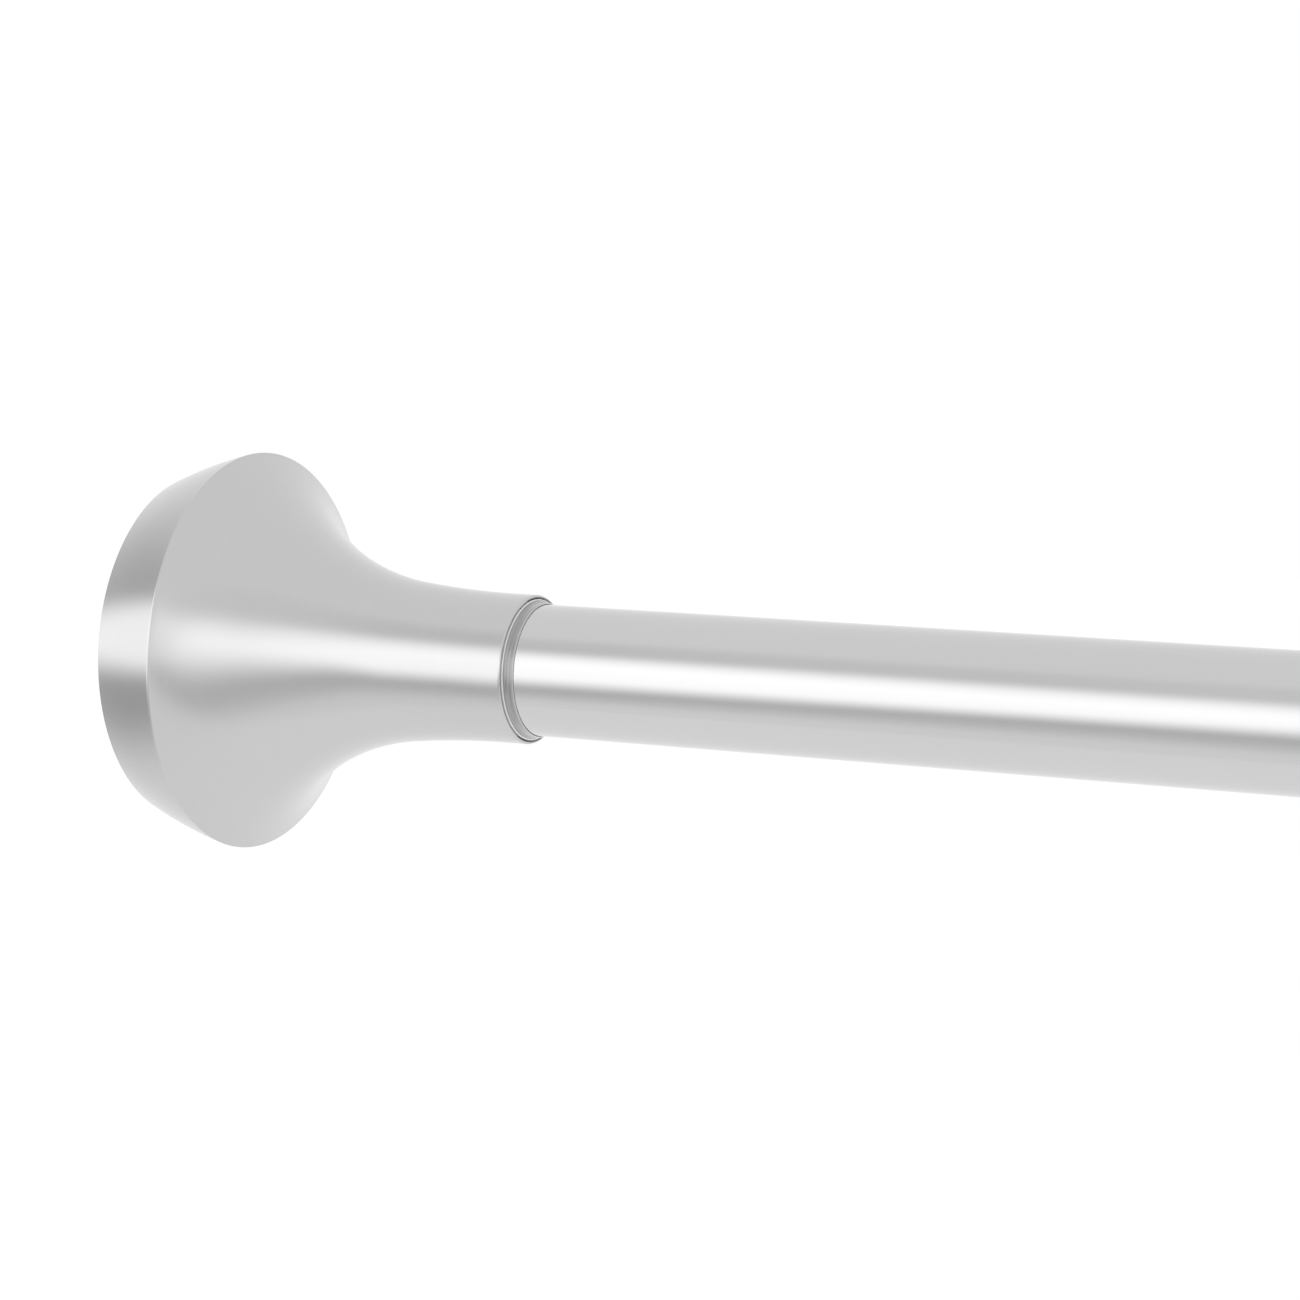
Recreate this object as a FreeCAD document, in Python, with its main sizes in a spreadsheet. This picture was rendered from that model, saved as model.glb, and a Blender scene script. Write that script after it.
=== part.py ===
import FreeCAD, Part
import math
import os

import Sketcher
from FreeCAD import Vector

# Extendable tension curtain rod
# +X runs along the rod, away from the left wall, and +Z is up.
# The origin is the centre of the left foot's face, where it bears on the wall.
# All sizes are in millimetres.

# Driving dimensions: name, value, what it is
DRIVING_DIMENSIONS = [
    ("outer_tube_diameter", 25.4, "outside of the outer tube, one inch"),
    ("outer_tube_wall", 0.8, "wall of the outer tube"),
    ("outer_tube_length", 474.6, "length of the outer tube"),
    ("tube_gap", 0.8, "radial gap between the two tubes"),
    ("inner_tube_wall", 0.8, "wall of the inner tube"),
    ("closing_travel", 50.0, "how far the rod can still be pushed together"),
    ("closing_room", 10.0, "gap that is left in the outer tube when the rod is closed"),
    ("cover_travel", 40.0, "how far the right cover slides off its foot"),
    ("cover_room", 5.0, "gap left between cover and collar with the rod closed"),
    ("running_clearance", 0.05, "radial clearance of a running fit"),
    ("loose_clearance", 0.3, "clearance of pieces that pass each other freely"),
    ("cover_wall_gap", 0.6, "gap between the wall and the edge of each cover"),
    ("cover_length", 77.5, "length of a cover from wall edge to neck mouth"),
    ("skirt_length", 15.1, "length of a cover's conical skirt"),
    ("rim_diameter", 79.7, "largest diameter of a cover, at its rim"),
    ("wall_edge_diameter", 69.1, "diameter of a cover at its wall edge"),
    ("skirt_bow_radius", 93.0, "radius of the slight bow of the skirt's section"),
    ("cover_wall", 0.65, "thickness of a cover's sheet"),
    ("neck_straight", 4.0, "cylindrical stretch at the neck's mouth"),
    ("neck_flare_radius", 184.0, "section radius of the slender part of the neck"),
    ("neck_flare_angle", 6.6, "degrees through which the slender part turns"),
    ("rim_round", 0.3, "rounding of a cover's rim"),
    ("mouth_round", 0.3, "rounding of the neck's mouth"),
    ("neck_bush_wall", 1.06, "radial thickness of the neck bush on the outer tube"),
    ("neck_bush_length", 12.0, "length of a neck bush inside the neck"),
    ("neck_bush_nose", 2.1, "length of the bush's tapered nose outside the mouth"),
    ("neck_bush_lip", 0.1, "radial thickness of the nose at its tip"),
    ("nose_bevel_length", 0.6, "length of the bevel at the root of the nose"),
    ("nose_step_start", 0.85, "place of the step on the nose, from the mouth"),
    ("nose_step_end", 1.15, "end of that step, from the mouth"),
    ("mouth_groove_width", 0.4, "radial gap between bush and neck at the mouth"),
    ("mouth_groove_depth", 3.0, "depth of that gap"),
    ("collar_depth", 15.0, "length of the collar inside the outer tube"),
    ("collar_lip", 3.5, "length of the collar beyond the outer tube"),
    ("collar_step", 0.5, "how far the collar's lip stands proud of the tube"),
    ("collar_round", 0.6, "rounding of the collar's lip"),
    ("pad_room", 6.9, "radial gap between a foot pad and the edge of its cover"),
    ("pad_thickness", 3.5, "rubber between the wall and the foot plate"),
    ("pad_lip", 1.5, "radial thickness of the pad's lip round the plate"),
    ("pad_hook", 1.0, "length of the pad's hook behind the plate"),
    ("pad_round", 0.75, "rounding of the pad's edge at the wall"),
    ("pad_groove_width", 1.2, "width of the pad's ring grooves"),
    ("pad_groove_depth", 0.8, "depth of the pad's ring grooves"),
    ("plate_thickness", 3.2, "thickness of a foot plate"),
    ("hub_wall", 2.4, "wall of the hub behind a foot plate"),
    ("left_hub_length", 8.0, "depth of the left plate's socket for the tube"),
    ("right_hub_length", 4.0, "length of the right plate's hub"),
    ("rib_thickness", 1.6, "thickness of a foot plate's ribs"),
    ("left_plug_length", 22.0, "length of the plug in the outer tube"),
    ("foot_screw_diameter", 5.0, "thread of the foot screws"),
    ("foot_screw_thread", 14.0, "length of the foot screws' thread"),
    ("foot_screw_head_diameter", 9.6, "head of the foot screws"),
    ("foot_screw_head_height", 1.6, "height of the foot screws' head"),
    ("foot_shoulder_step", 0.5, "radial step from the right screw's shoulder to its thread"),
    ("recess_width", 1.2, "width of the cross recess in a screw head"),
    ("recess_length", 5.3, "length of each slot of the cross recess"),
    ("recess_depth", 0.9, "depth of the cross recess"),
    ("foot_stroke", 12.0, "how far the right foot can be pressed in"),
    ("foot_room", 2.0, "gap between the right foot's hub and the plug when pressed in"),
    ("plunger_diameter", 12.0, "rod of the plunger"),
    ("plunger_collar_length", 4.0, "length of the plunger's collar"),
    ("spigot_length", 10.0, "length of the pegs inside the spring's ends"),
    ("guide_plug_length", 18.0, "length of the guide plug inside the tube"),
    ("plug_flange", 2.0, "thickness of the flange of a plug in the inner tube"),
    ("spring_wire", 1.6, "wire of the foot spring"),
    ("spring_length", 45.0, "length of the foot spring at rest"),
    ("spring_pitch", 5.0, "pitch of the foot spring at rest"),
    ("spring_seat_length", 10.0, "length of the spring seat's body"),
    ("lock_screw_diameter", 8.0, "stud of the twist lock"),
    ("lock_screw_grip", 18.0, "length of the stud inside its plug"),
    ("stud_chamfer", 0.8, "chamfer at the stud's ends"),
    ("lock_plug_length", 25.0, "length of the lock plug inside the tube"),
    ("thrust_washer_thickness", 1.2, "thickness of the thrust washer"),
    ("sleeve_length", 28.0, "length of the grip sleeve"),
    ("sleeve_web", 4.0, "thickness of the closed end of the sleeve"),
    ("sleeve_wall", 1.8, "wall of the sleeve at its open end"),
    ("sleeve_taper", 6.0, "degrees of the cone's and the sleeve's taper"),
    ("sleeve_slot_width", 1.4, "width of the sleeve's slots"),
    ("cone_travel", 3.0, "how far the cone nut is drawn in"),
    ("cone_land", 4.0, "cylindrical stretch of the cone nut outside the sleeve"),
    ("grip_ring_section", 1.4, "section of the rubber ring round the sleeve"),
    ("ring_seat_width", 1.7, "width of the sleeve's seat for that ring"),
    ("stop_nut_width", 13.0, "width across the flats of the stop nut"),
    ("stop_nut_height", 5.0, "height of the stop nut"),
    ("stop_nut_room", 6.0, "gap between the cone nut and the stop nut"),
]

PAD_GROOVES = 3
PLATE_RIBS = 8
SLEEVE_SLOTS = 6

doc = FreeCAD.newDocument("CurtainRod")
sizes = doc.addObject("Spreadsheet::Sheet", "Sizes")
for row, (alias, value, meaning) in enumerate(DRIVING_DIMENSIONS, start=1):
    sizes.set(f"A{row}", alias)
    sizes.set(f"B{row}", str(value))
    sizes.set(f"C{row}", meaning)
    sizes.setAlias(f"B{row}", alias)
doc.recompute()


def size(alias):
    """Expression that reads a driving dimension."""
    return f"Sizes.{alias}"


def number(expression):
    """Present value of an expression."""
    return float(sizes.evalExpression(str(expression)))


# Derived sizes, as expressions of the driving dimensions

OUTER_RADIUS = f"({size('outer_tube_diameter')} / 2)"
OUTER_BORE = f"({OUTER_RADIUS} - {size('outer_tube_wall')})"
INNER_RADIUS = f"({OUTER_BORE} - {size('tube_gap')})"
INNER_BORE = f"({INNER_RADIUS} - {size('inner_tube_wall')})"
CLEARANCE = size("running_clearance")
LOOSE = size("loose_clearance")

RIM_RADIUS = f"({size('rim_diameter')} / 2)"
WALL_EDGE_RADIUS = f"({size('wall_edge_diameter')} / 2)"
NECK_BORE = f"({OUTER_RADIUS} + {CLEARANCE} + {size('neck_bush_wall')})"
NECK_RADIUS = f"({NECK_BORE} + {size('cover_wall')})"

PAD_RADIUS = f"({WALL_EDGE_RADIUS} - {size('cover_wall')} - {size('pad_room')})"
PLATE_RADIUS = f"({PAD_RADIUS} - {size('pad_lip')})"
PLATE_BACK = f"({size('pad_thickness')} + {size('plate_thickness')})"
FOOT_SCREW_RADIUS = f"({size('foot_screw_diameter')} / 2)"
HEAD_RADIUS = f"({size('foot_screw_head_diameter')} / 2)"
HEAD_FACE = f"({size('pad_thickness')} + {LOOSE})"
HEAD_SEAT = f"({HEAD_FACE} + {size('foot_screw_head_height')})"
SHOULDER_RADIUS = f"({FOOT_SCREW_RADIUS} + {size('foot_shoulder_step')})"
RIGHT_HUB_END = f"({PLATE_BACK} + {size('right_hub_length')})"

# Places at the right foot, measured from the right wall
PLUNGER_START = f"({RIGHT_HUB_END} + {CLEARANCE})"
GUIDE_FLANGE = f"({RIGHT_HUB_END} + {size('foot_stroke')} + {size('foot_room')})"
INNER_TUBE_END = f"({GUIDE_FLANGE} + {size('plug_flange')})"
GUIDE_PLUG_END = f"({INNER_TUBE_END} + {size('guide_plug_length')})"
SPRING_START = f"({GUIDE_PLUG_END} + {size('plunger_collar_length')})"
SPRING_END = f"({SPRING_START} + {size('spring_length')})"
PLUNGER_RADIUS = f"({size('plunger_diameter')} / 2)"
SPRING_RADIUS = f"({INNER_BORE} - {LOOSE} - {size('spring_wire')} / 2)"
SPIGOT_RADIUS = f"({SPRING_RADIUS} - {size('spring_wire')} / 2 - {LOOSE})"

# Places at the twist lock, measured from the inner tube's left end towards the left wall
LOCK_RADIUS = f"({size('lock_screw_diameter')} / 2)"
WASHER_START = size("plug_flange")
SLEEVE_START = f"({WASHER_START} + {size('thrust_washer_thickness')})"
SLEEVE_END = f"({SLEEVE_START} + {size('sleeve_length')})"
SLEEVE_FLOOR = f"({SLEEVE_START} + {size('sleeve_web')})"
SLEEVE_RADIUS = f"({OUTER_BORE} - {CLEARANCE})"
SLEEVE_MOUTH = f"({SLEEVE_RADIUS} - {size('sleeve_wall')})"
SLOPE = f"tan({size('sleeve_taper')} * 1 deg)"
SLEEVE_THROAT = f"({SLEEVE_MOUTH} - ({SLEEVE_END} - {SLEEVE_FLOOR}) * {SLOPE})"
CONE_START = f"({SLEEVE_FLOOR} + {size('cone_travel')} + {LOOSE})"
CONE_END = f"({SLEEVE_END} + {size('cone_travel')} + {size('cone_land')})"
STOP_NUT_START = f"({CONE_END} + {size('stop_nut_room')})"
LOCK_SCREW_END = f"({STOP_NUT_START} + {size('stop_nut_height')})"

# Places along the rod, measured from the left wall
TUBE_START = PLATE_BACK
TUBE_END = f"({TUBE_START} + {size('outer_tube_length')})"
LEFT_PLUG_END = f"({TUBE_START} + {size('left_plug_length')})"
LOCK_PLACE = (
    f"({LEFT_PLUG_END} + {size('closing_room')} + {size('closing_travel')} + {LOCK_SCREW_END})"
)
RIGHT_MOUTH = (
    f"({TUBE_END} + {size('collar_lip')} + {size('closing_travel')}"
    f" + {size('cover_travel')} + {size('cover_room')} + {size('neck_bush_nose')})"
)
ROD_LENGTH = f"({RIGHT_MOUTH} + {size('cover_length')} + {size('cover_wall_gap')})"
INNER_LENGTH = f"({ROD_LENGTH} - {INNER_TUBE_END} - {LOCK_PLACE})"


# Helpers for sketches and features


def new_body(label):
    """Empty body with its own name."""
    body = doc.addObject("PartDesign::Body", label)
    body.Label = label
    return body


def plane_of(body, role):
    """Origin plane or axis of a body, found by its role."""
    return next(part for part in body.Origin.OriginFeatures if part.Role == role)


def new_sketch(body, name, plane="XY_Plane"):
    """Sketch on one of the body's own origin planes."""
    sketch = body.newObject("Sketcher::SketchObject", f"{body.Name}_{name}")
    sketch.AttachmentSupport = [(plane_of(body, plane), "")]
    sketch.MapMode = "FlatFace"
    return sketch


def tie(sketch, kind, geometry, point, expression):
    """Hold a point's distance from the sketch's origin at an expression's value."""
    value = number(expression)
    index = sketch.addConstraint(Sketcher.Constraint(kind, -1, 1, geometry, point, value))
    sketch.setExpression(f"Constraints[{index}]", str(expression))


def add_loop(sketch, corners):
    """Closed outline through corners given as pairs of expressions, with every corner tied."""
    points = [Vector(number(across), number(up), 0) for across, up in corners]
    first = sketch.GeometryCount
    count = len(points)
    for index in range(count):
        sketch.addGeometry(Part.LineSegment(points[index], points[(index + 1) % count]), False)
    for index, (across, up) in enumerate(corners):
        here = first + index
        following = first + (index + 1) % count
        sketch.addConstraint(Sketcher.Constraint("Coincident", here, 2, following, 1))
        tie(sketch, "DistanceX", here, 1, across)
        tie(sketch, "DistanceY", here, 1, up)


def revolve(body, sketch, name="turned"):
    """Full turn of a sketch about the rod's axis."""
    feature = body.newObject("PartDesign::Revolution", f"{body.Name}_{name}")
    feature.Profile = sketch
    feature.ReferenceAxis = (sketch, ["H_Axis"])
    feature.Angle = 360
    return feature


def turned(label, corners):
    """Body of revolution about the rod's axis from corners (along the rod, radius)."""
    body = new_body(label)
    sketch = new_sketch(body, "outline")
    add_loop(sketch, corners)
    revolve(body, sketch)
    doc.recompute()
    return body


def groove(body, name, corners):
    """Ring cut out of a body, from corners (along the rod, radius)."""
    sketch = new_sketch(body, name)
    add_loop(sketch, corners)
    feature = body.newObject("PartDesign::Groove", f"{body.Name}_{name}_cut")
    feature.Profile = sketch
    feature.ReferenceAxis = (sketch, ["H_Axis"])
    feature.Angle = 360
    doc.recompute()
    return feature


def slab(body, kind, name, corners, thickness):
    """Pad or pocket of an outline in the rod's plane, half its thickness to each side."""
    sketch = new_sketch(body, name)
    add_loop(sketch, corners)
    feature = body.newObject(kind, f"{body.Name}_{name}_slab")
    feature.Profile = sketch
    feature.SideType = "Symmetric"
    feature.setExpression("Length", thickness)
    doc.recompute()
    return feature


def around(body, feature, count):
    """Repeat a feature evenly round the rod's axis."""
    pattern = body.newObject("PartDesign::PolarPattern", f"{feature.Name}_pattern")
    pattern.Originals = [feature]
    pattern.Axis = (plane_of(body, "X_Axis"), [""])
    pattern.Angle = 360
    pattern.Occurrences = count
    body.Tip = pattern
    doc.recompute()
    return pattern


def ring_edges(shape, place, radius):
    """Names of a shape's circular edges about the rod's axis at a place and a radius."""
    near = 0.01
    found = []
    for index, edge in enumerate(shape.Edges, start=1):
        curve = edge.Curve
        if not isinstance(curve, Part.Circle) or abs(curve.Radius - radius) > near:
            continue
        if abs(curve.Center.x - place) < near and abs(curve.Axis.x) > 1 - near:
            found.append(f"Edge{index}")
    return found


def round_rings(body, name, radius, rings):
    """Fillet of circular edges, given as (place, radius) pairs of expressions."""
    base = body.Tip
    edges = []
    for place, ring_radius in rings:
        edges += ring_edges(base.Shape, number(place), number(ring_radius))
    if not edges:
        raise RuntimeError(f"{body.Name}: no edge to round for {name}")
    feature = body.newObject("PartDesign::Fillet", f"{body.Name}_{name}")
    feature.Base = (base, edges)
    feature.setExpression("Radius", radius)
    doc.recompute()
    return feature


def place_from_left(piece, distance="0"):
    """Put a piece that is drawn from left to right at a distance from the left wall."""
    piece.Placement = FreeCAD.Placement(Vector(0, 0, 0), FreeCAD.Rotation())
    piece.setExpression("Placement.Base.x", distance)


def place_facing_left(piece, distance):
    """Put a piece that is drawn from right to left at a distance from the left wall."""
    half_turn = FreeCAD.Rotation(Vector(0, 0, 1), 180)
    piece.Placement = FreeCAD.Placement(Vector(0, 0, 0), half_turn)
    piece.setExpression("Placement.Base.x", distance)


# Sub-parts


def make_tube(label, outer_radius, bore, length):
    """Plain round tube, padded along the rod from two circles."""
    body = new_body(label)
    sketch = new_sketch(body, "section", "YZ_Plane")
    for index, radius in enumerate((outer_radius, bore)):
        circle = Part.Circle(Vector(0, 0, 0), Vector(0, 0, 1), number(radius))
        sketch.addGeometry(circle, False)
        sketch.addConstraint(Sketcher.Constraint("Coincident", index, 3, -1, 1))
        datum = sketch.addConstraint(Sketcher.Constraint("Radius", index, number(radius)))
        sketch.setExpression(f"Constraints[{datum}]", radius)
    pad = body.newObject("PartDesign::Pad", f"{label}_length")
    pad.Profile = sketch
    pad.setExpression("Length", length)
    doc.recompute()
    return body


def arc_through(sketch, centre, radius, start, end):
    """Arc about a centre from one point to another, turning anticlockwise."""
    first = math.atan2(start.y - centre.y, start.x - centre.x)
    last = math.atan2(end.y - centre.y, end.x - centre.x)
    circle = Part.Circle(centre, Vector(0, 0, 1), radius)
    return sketch.addGeometry(Part.ArcOfCircle(circle, first, last), False)


def make_cover(label):
    """End cover spun from sheet: bowed skirt, sharp rim and a face that flares into the neck.

    Drawn from its wall edge. The face is a straight neck and two arcs, each tangent to the
    last, and the second arc ends at the rim.
    """
    body = new_body(label)
    sketch = new_sketch(body, "outline")
    length = number(size("cover_length"))
    neck = number(NECK_RADIUS)
    flare = math.radians(number(size("neck_flare_angle")))
    slender = number(size("neck_flare_radius"))
    edge = Vector(0, number(WALL_EDGE_RADIUS), 0)
    rim = Vector(number(size("skirt_length")), number(RIM_RADIUS), 0)
    mouth = Vector(length, neck, 0)
    neck_end = Vector(length - number(size("neck_straight")), neck, 0)
    slender_centre = Vector(neck_end.x, neck + slender, 0)
    outward = Vector(math.sin(flare), math.cos(flare), 0)
    flare_start = slender_centre - outward * slender
    chord = rim - flare_start
    horn = chord.dot(chord) / (2 * chord.dot(outward))
    horn_centre = flare_start + outward * horn

    # The skirt's bow bulges away from the axis, so its centre lies inside
    bow = number(size("skirt_bow_radius"))
    half_chord = (rim - edge) * 0.5
    across = Vector(half_chord.y, -half_chord.x, 0).normalize()
    depth = math.sqrt(bow * bow - half_chord.dot(half_chord))
    bow_centre = edge + half_chord + across * depth

    skirt_arc = arc_through(sketch, bow_centre, bow, rim, edge)
    horn_arc = arc_through(sketch, horn_centre, horn, rim, flare_start)
    slender_arc = arc_through(sketch, slender_centre, slender, flare_start, neck_end)
    neck_line = sketch.addGeometry(Part.LineSegment(neck_end, mouth), False)
    mouth_foot = Vector(length, 0, 0)
    mouth_line = sketch.addGeometry(Part.LineSegment(mouth, mouth_foot), False)
    axis_line = sketch.addGeometry(Part.LineSegment(mouth_foot, Vector(0, 0, 0)), False)
    wall_line = sketch.addGeometry(Part.LineSegment(Vector(0, 0, 0), edge), False)

    join = Sketcher.Constraint
    sketch.addConstraint(
        [
            join("Coincident", skirt_arc, 1, horn_arc, 1),
            join("Tangent", horn_arc, 2, slender_arc, 1),
            join("Tangent", slender_arc, 2, neck_line, 1),
            join("Coincident", neck_line, 2, mouth_line, 1),
            join("Coincident", mouth_line, 2, axis_line, 1),
            join("Coincident", axis_line, 2, wall_line, 1),
            join("Coincident", wall_line, 2, skirt_arc, 2),
        ]
    )
    tie(sketch, "DistanceX", skirt_arc, 2, "0")
    tie(sketch, "DistanceY", skirt_arc, 2, WALL_EDGE_RADIUS)
    tie(sketch, "DistanceX", skirt_arc, 1, size("skirt_length"))
    tie(sketch, "DistanceY", skirt_arc, 1, RIM_RADIUS)
    tie(sketch, "DistanceX", neck_line, 2, size("cover_length"))
    tie(sketch, "DistanceY", neck_line, 2, NECK_RADIUS)
    tie(sketch, "DistanceX", neck_line, 1, f"{size('cover_length')} - {size('neck_straight')}")
    tie(sketch, "DistanceX", axis_line, 1, size("cover_length"))
    tie(sketch, "DistanceY", axis_line, 1, "0")
    tie(sketch, "DistanceX", wall_line, 1, "0")
    tie(sketch, "DistanceY", wall_line, 1, "0")
    sketch.addConstraint(join("Horizontal", neck_line))
    for arc, radius in ((skirt_arc, "skirt_bow_radius"), (slender_arc, "neck_flare_radius")):
        datum = sketch.addConstraint(join("Radius", arc, number(size(radius))))
        sketch.setExpression(f"Constraints[{datum}]", size(radius))
    flare_place = f"{size('cover_length')} - {size('neck_straight')}"
    flare_place += f" - {size('neck_flare_radius')} * sin({size('neck_flare_angle')} * 1 deg)"
    tie(sketch, "DistanceX", slender_arc, 1, flare_place)
    solid = revolve(body, sketch)
    doc.recompute()

    open_faces = []
    for index, face in enumerate(solid.Shape.Faces, start=1):
        if isinstance(face.Surface, Part.Plane):
            open_faces.append(f"Face{index}")
    shell = body.newObject("PartDesign::Thickness", f"{label}_wall")
    shell.Base = (solid, open_faces)
    shell.Join = "Intersection"
    shell.Reversed = True
    shell.setExpression("Value", size("cover_wall"))
    doc.recompute()
    round_rings(body, "rim", size("rim_round"), [(size("skirt_length"), RIM_RADIUS)])
    round_rings(body, "mouth", size("mouth_round"), [(size("cover_length"), NECK_RADIUS)])
    return body


def make_neck_bush(label, bore):
    """Moulded ring pressed into a cover's neck, drawn with the neck's mouth at zero."""
    front = f"({NECK_BORE} - {size('mouth_groove_width')})"
    tip = f"({bore} + {size('neck_bush_lip')})"
    step = f"(({front} + {tip}) / 2)"
    nose = size("neck_bush_nose")
    return turned(
        label,
        [
            (f"-{size('neck_bush_length')}", bore),
            (nose, bore),
            (nose, tip),
            (size("nose_step_end"), step),
            (size("nose_step_start"), step),
            (size("nose_bevel_length"), f"{step} + {size('mouth_groove_width')} / 2"),
            ("0", front),
            (f"-{size('mouth_groove_depth')}", front),
            (f"-{size('mouth_groove_depth')}", NECK_BORE),
            (f"-{size('neck_bush_length')}", NECK_BORE),
        ],
    )


def make_collar(label):
    """Moulded guide ring in the outer tube's open end, drawn with the tube's end at zero."""
    bore = f"({INNER_RADIUS} + {CLEARANCE})"
    lip_radius = f"({OUTER_RADIUS} + {size('collar_step')})"
    collar = turned(
        label,
        [
            (f"-{size('collar_depth')}", bore),
            (size("collar_lip"), bore),
            (size("collar_lip"), lip_radius),
            ("0", lip_radius),
            ("0", OUTER_BORE),
            (f"-{size('collar_depth')}", OUTER_BORE),
        ],
    )
    round_rings(collar, "lip", size("collar_round"), [(size("collar_lip"), lip_radius)])
    return collar


def make_foot_pad(label):
    """Rubber disc with a flat middle, ring grooves and a lip that holds the plate."""
    plate_back = PLATE_BACK
    hook_back = f"({plate_back} + {size('pad_hook')})"
    pad = turned(
        label,
        [
            ("0", "0"),
            ("0", PAD_RADIUS),
            (hook_back, PAD_RADIUS),
            (hook_back, f"({PLATE_RADIUS} - {size('pad_hook')})"),
            (plate_back, f"({PLATE_RADIUS} - {size('pad_hook')})"),
            (plate_back, PLATE_RADIUS),
            (size("pad_thickness"), PLATE_RADIUS),
            (size("pad_thickness"), "0"),
        ],
    )
    spacing = f"({PLATE_RADIUS} / {PAD_GROOVES + 2})"
    for index in range(PAD_GROOVES):
        inside = f"({spacing} * {index + 2})"
        outside = f"({inside} + {size('pad_groove_width')})"
        depth = size("pad_groove_depth")
        ring = [("0", inside), (depth, inside), (depth, outside), ("0", outside)]
        groove(pad, f"groove_{index + 1}", ring)
    round_rings(pad, "edge", size("pad_round"), [("0", PAD_RADIUS)])
    return pad


def make_foot_plate(label, hub_bore, hub_length, bore_steps):
    """Moulded disc behind a pad: hub, stepped bore, seat for the screw's head, and ribs.

    The bore steps run from the hub's end to the seat of the head, as (place, radius).
    """
    hub_radius = f"({hub_bore} + {size('hub_wall')})"
    hub_end = f"({PLATE_BACK} + {hub_length})"
    head_room = f"({HEAD_RADIUS} + {LOOSE})"
    face = size("pad_thickness")
    outside = [
        (face, head_room),
        (face, PLATE_RADIUS),
        (PLATE_BACK, PLATE_RADIUS),
        (PLATE_BACK, hub_radius),
        (hub_end, hub_radius),
    ]
    plate = turned(label, outside + bore_steps + [(HEAD_SEAT, head_room)])
    rib_foot = f"({PLATE_RADIUS} - {size('pad_hook')} - {LOOSE})"
    sunk = f"(({PLATE_BACK} + {HEAD_SEAT}) / 2)"
    inside = f"({hub_radius} - {size('hub_wall')} / 2)"
    corners = [
        (sunk, inside),
        (hub_end, inside),
        (hub_end, hub_radius),
        (PLATE_BACK, rib_foot),
        (sunk, rib_foot),
    ]
    rib = slab(plate, "PartDesign::Pad", "rib", corners, size("rib_thickness"))
    around(plate, rib, PLATE_RIBS)
    return plate


def cut_cross_recess(screw, face):
    """Cross recess in a screw head, as a straight slot repeated at a right angle."""
    reach = f"({size('recess_length')} / 2)"
    floor = f"({face} + {size('recess_depth')})"
    corners = [(face, f"-{reach}"), (floor, f"-{reach}"), (floor, reach), (face, reach)]
    slot = slab(screw, "PartDesign::Pocket", "recess", corners, size("recess_width"))
    around(screw, slot, 4)


def make_left_foot_screw(label):
    """Screw that holds the left plate to its plug, drawn from the left wall."""
    thread_end = f"({PLATE_BACK} + {size('foot_screw_thread')})"
    screw = turned(
        label,
        [
            (HEAD_FACE, "0"),
            (HEAD_FACE, HEAD_RADIUS),
            (HEAD_SEAT, HEAD_RADIUS),
            (HEAD_SEAT, FOOT_SCREW_RADIUS),
            (thread_end, FOOT_SCREW_RADIUS),
            (thread_end, "0"),
        ],
    )
    cut_cross_recess(screw, HEAD_FACE)
    return screw


def make_right_foot_screw(label):
    """Shoulder screw on which the right foot turns, drawn from the right wall."""
    thread_end = f"({PLUNGER_START} + {size('foot_screw_thread')})"
    face = f"({HEAD_FACE} - {CLEARANCE})"
    seat = f"({HEAD_SEAT} - {CLEARANCE})"
    screw = turned(
        label,
        [
            (face, "0"),
            (face, HEAD_RADIUS),
            (seat, HEAD_RADIUS),
            (seat, SHOULDER_RADIUS),
            (PLUNGER_START, SHOULDER_RADIUS),
            (PLUNGER_START, FOOT_SCREW_RADIUS),
            (thread_end, FOOT_SCREW_RADIUS),
            (thread_end, "0"),
        ],
    )
    cut_cross_recess(screw, face)
    return screw


def make_left_end_plug(label):
    """Moulded plug pressed into the outer tube, with a blind hole for the foot screw."""
    hole_end = f"({TUBE_START} + {size('foot_screw_thread')} + {LOOSE})"
    return turned(
        label,
        [
            (TUBE_START, FOOT_SCREW_RADIUS),
            (TUBE_START, OUTER_BORE),
            (LEFT_PLUG_END, OUTER_BORE),
            (LEFT_PLUG_END, "0"),
            (hole_end, "0"),
            (hole_end, FOOT_SCREW_RADIUS),
        ],
    )


def make_lock_plug(label):
    """Moulded plug in the inner tube's left end, with a blind hole for the stud."""
    return turned(
        label,
        [
            (size("plug_flange"), LOCK_RADIUS),
            (size("plug_flange"), INNER_RADIUS),
            ("0", INNER_RADIUS),
            ("0", INNER_BORE),
            (f"-{size('lock_plug_length')}", INNER_BORE),
            (f"-{size('lock_plug_length')}", "0"),
            (f"-{size('lock_screw_grip')}", "0"),
            (f"-{size('lock_screw_grip')}", LOCK_RADIUS),
        ],
    )


def make_lock_screw(label):
    """Steel stud of the twist lock, with chamfered ends."""
    chamfer = size("stud_chamfer")
    start = f"(-{size('lock_screw_grip')})"
    return turned(
        label,
        [
            (start, "0"),
            (start, f"({LOCK_RADIUS} - {chamfer})"),
            (f"({start} + {chamfer})", LOCK_RADIUS),
            (f"({LOCK_SCREW_END} - {chamfer})", LOCK_RADIUS),
            (LOCK_SCREW_END, f"({LOCK_RADIUS} - {chamfer})"),
            (LOCK_SCREW_END, "0"),
        ],
    )


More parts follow.
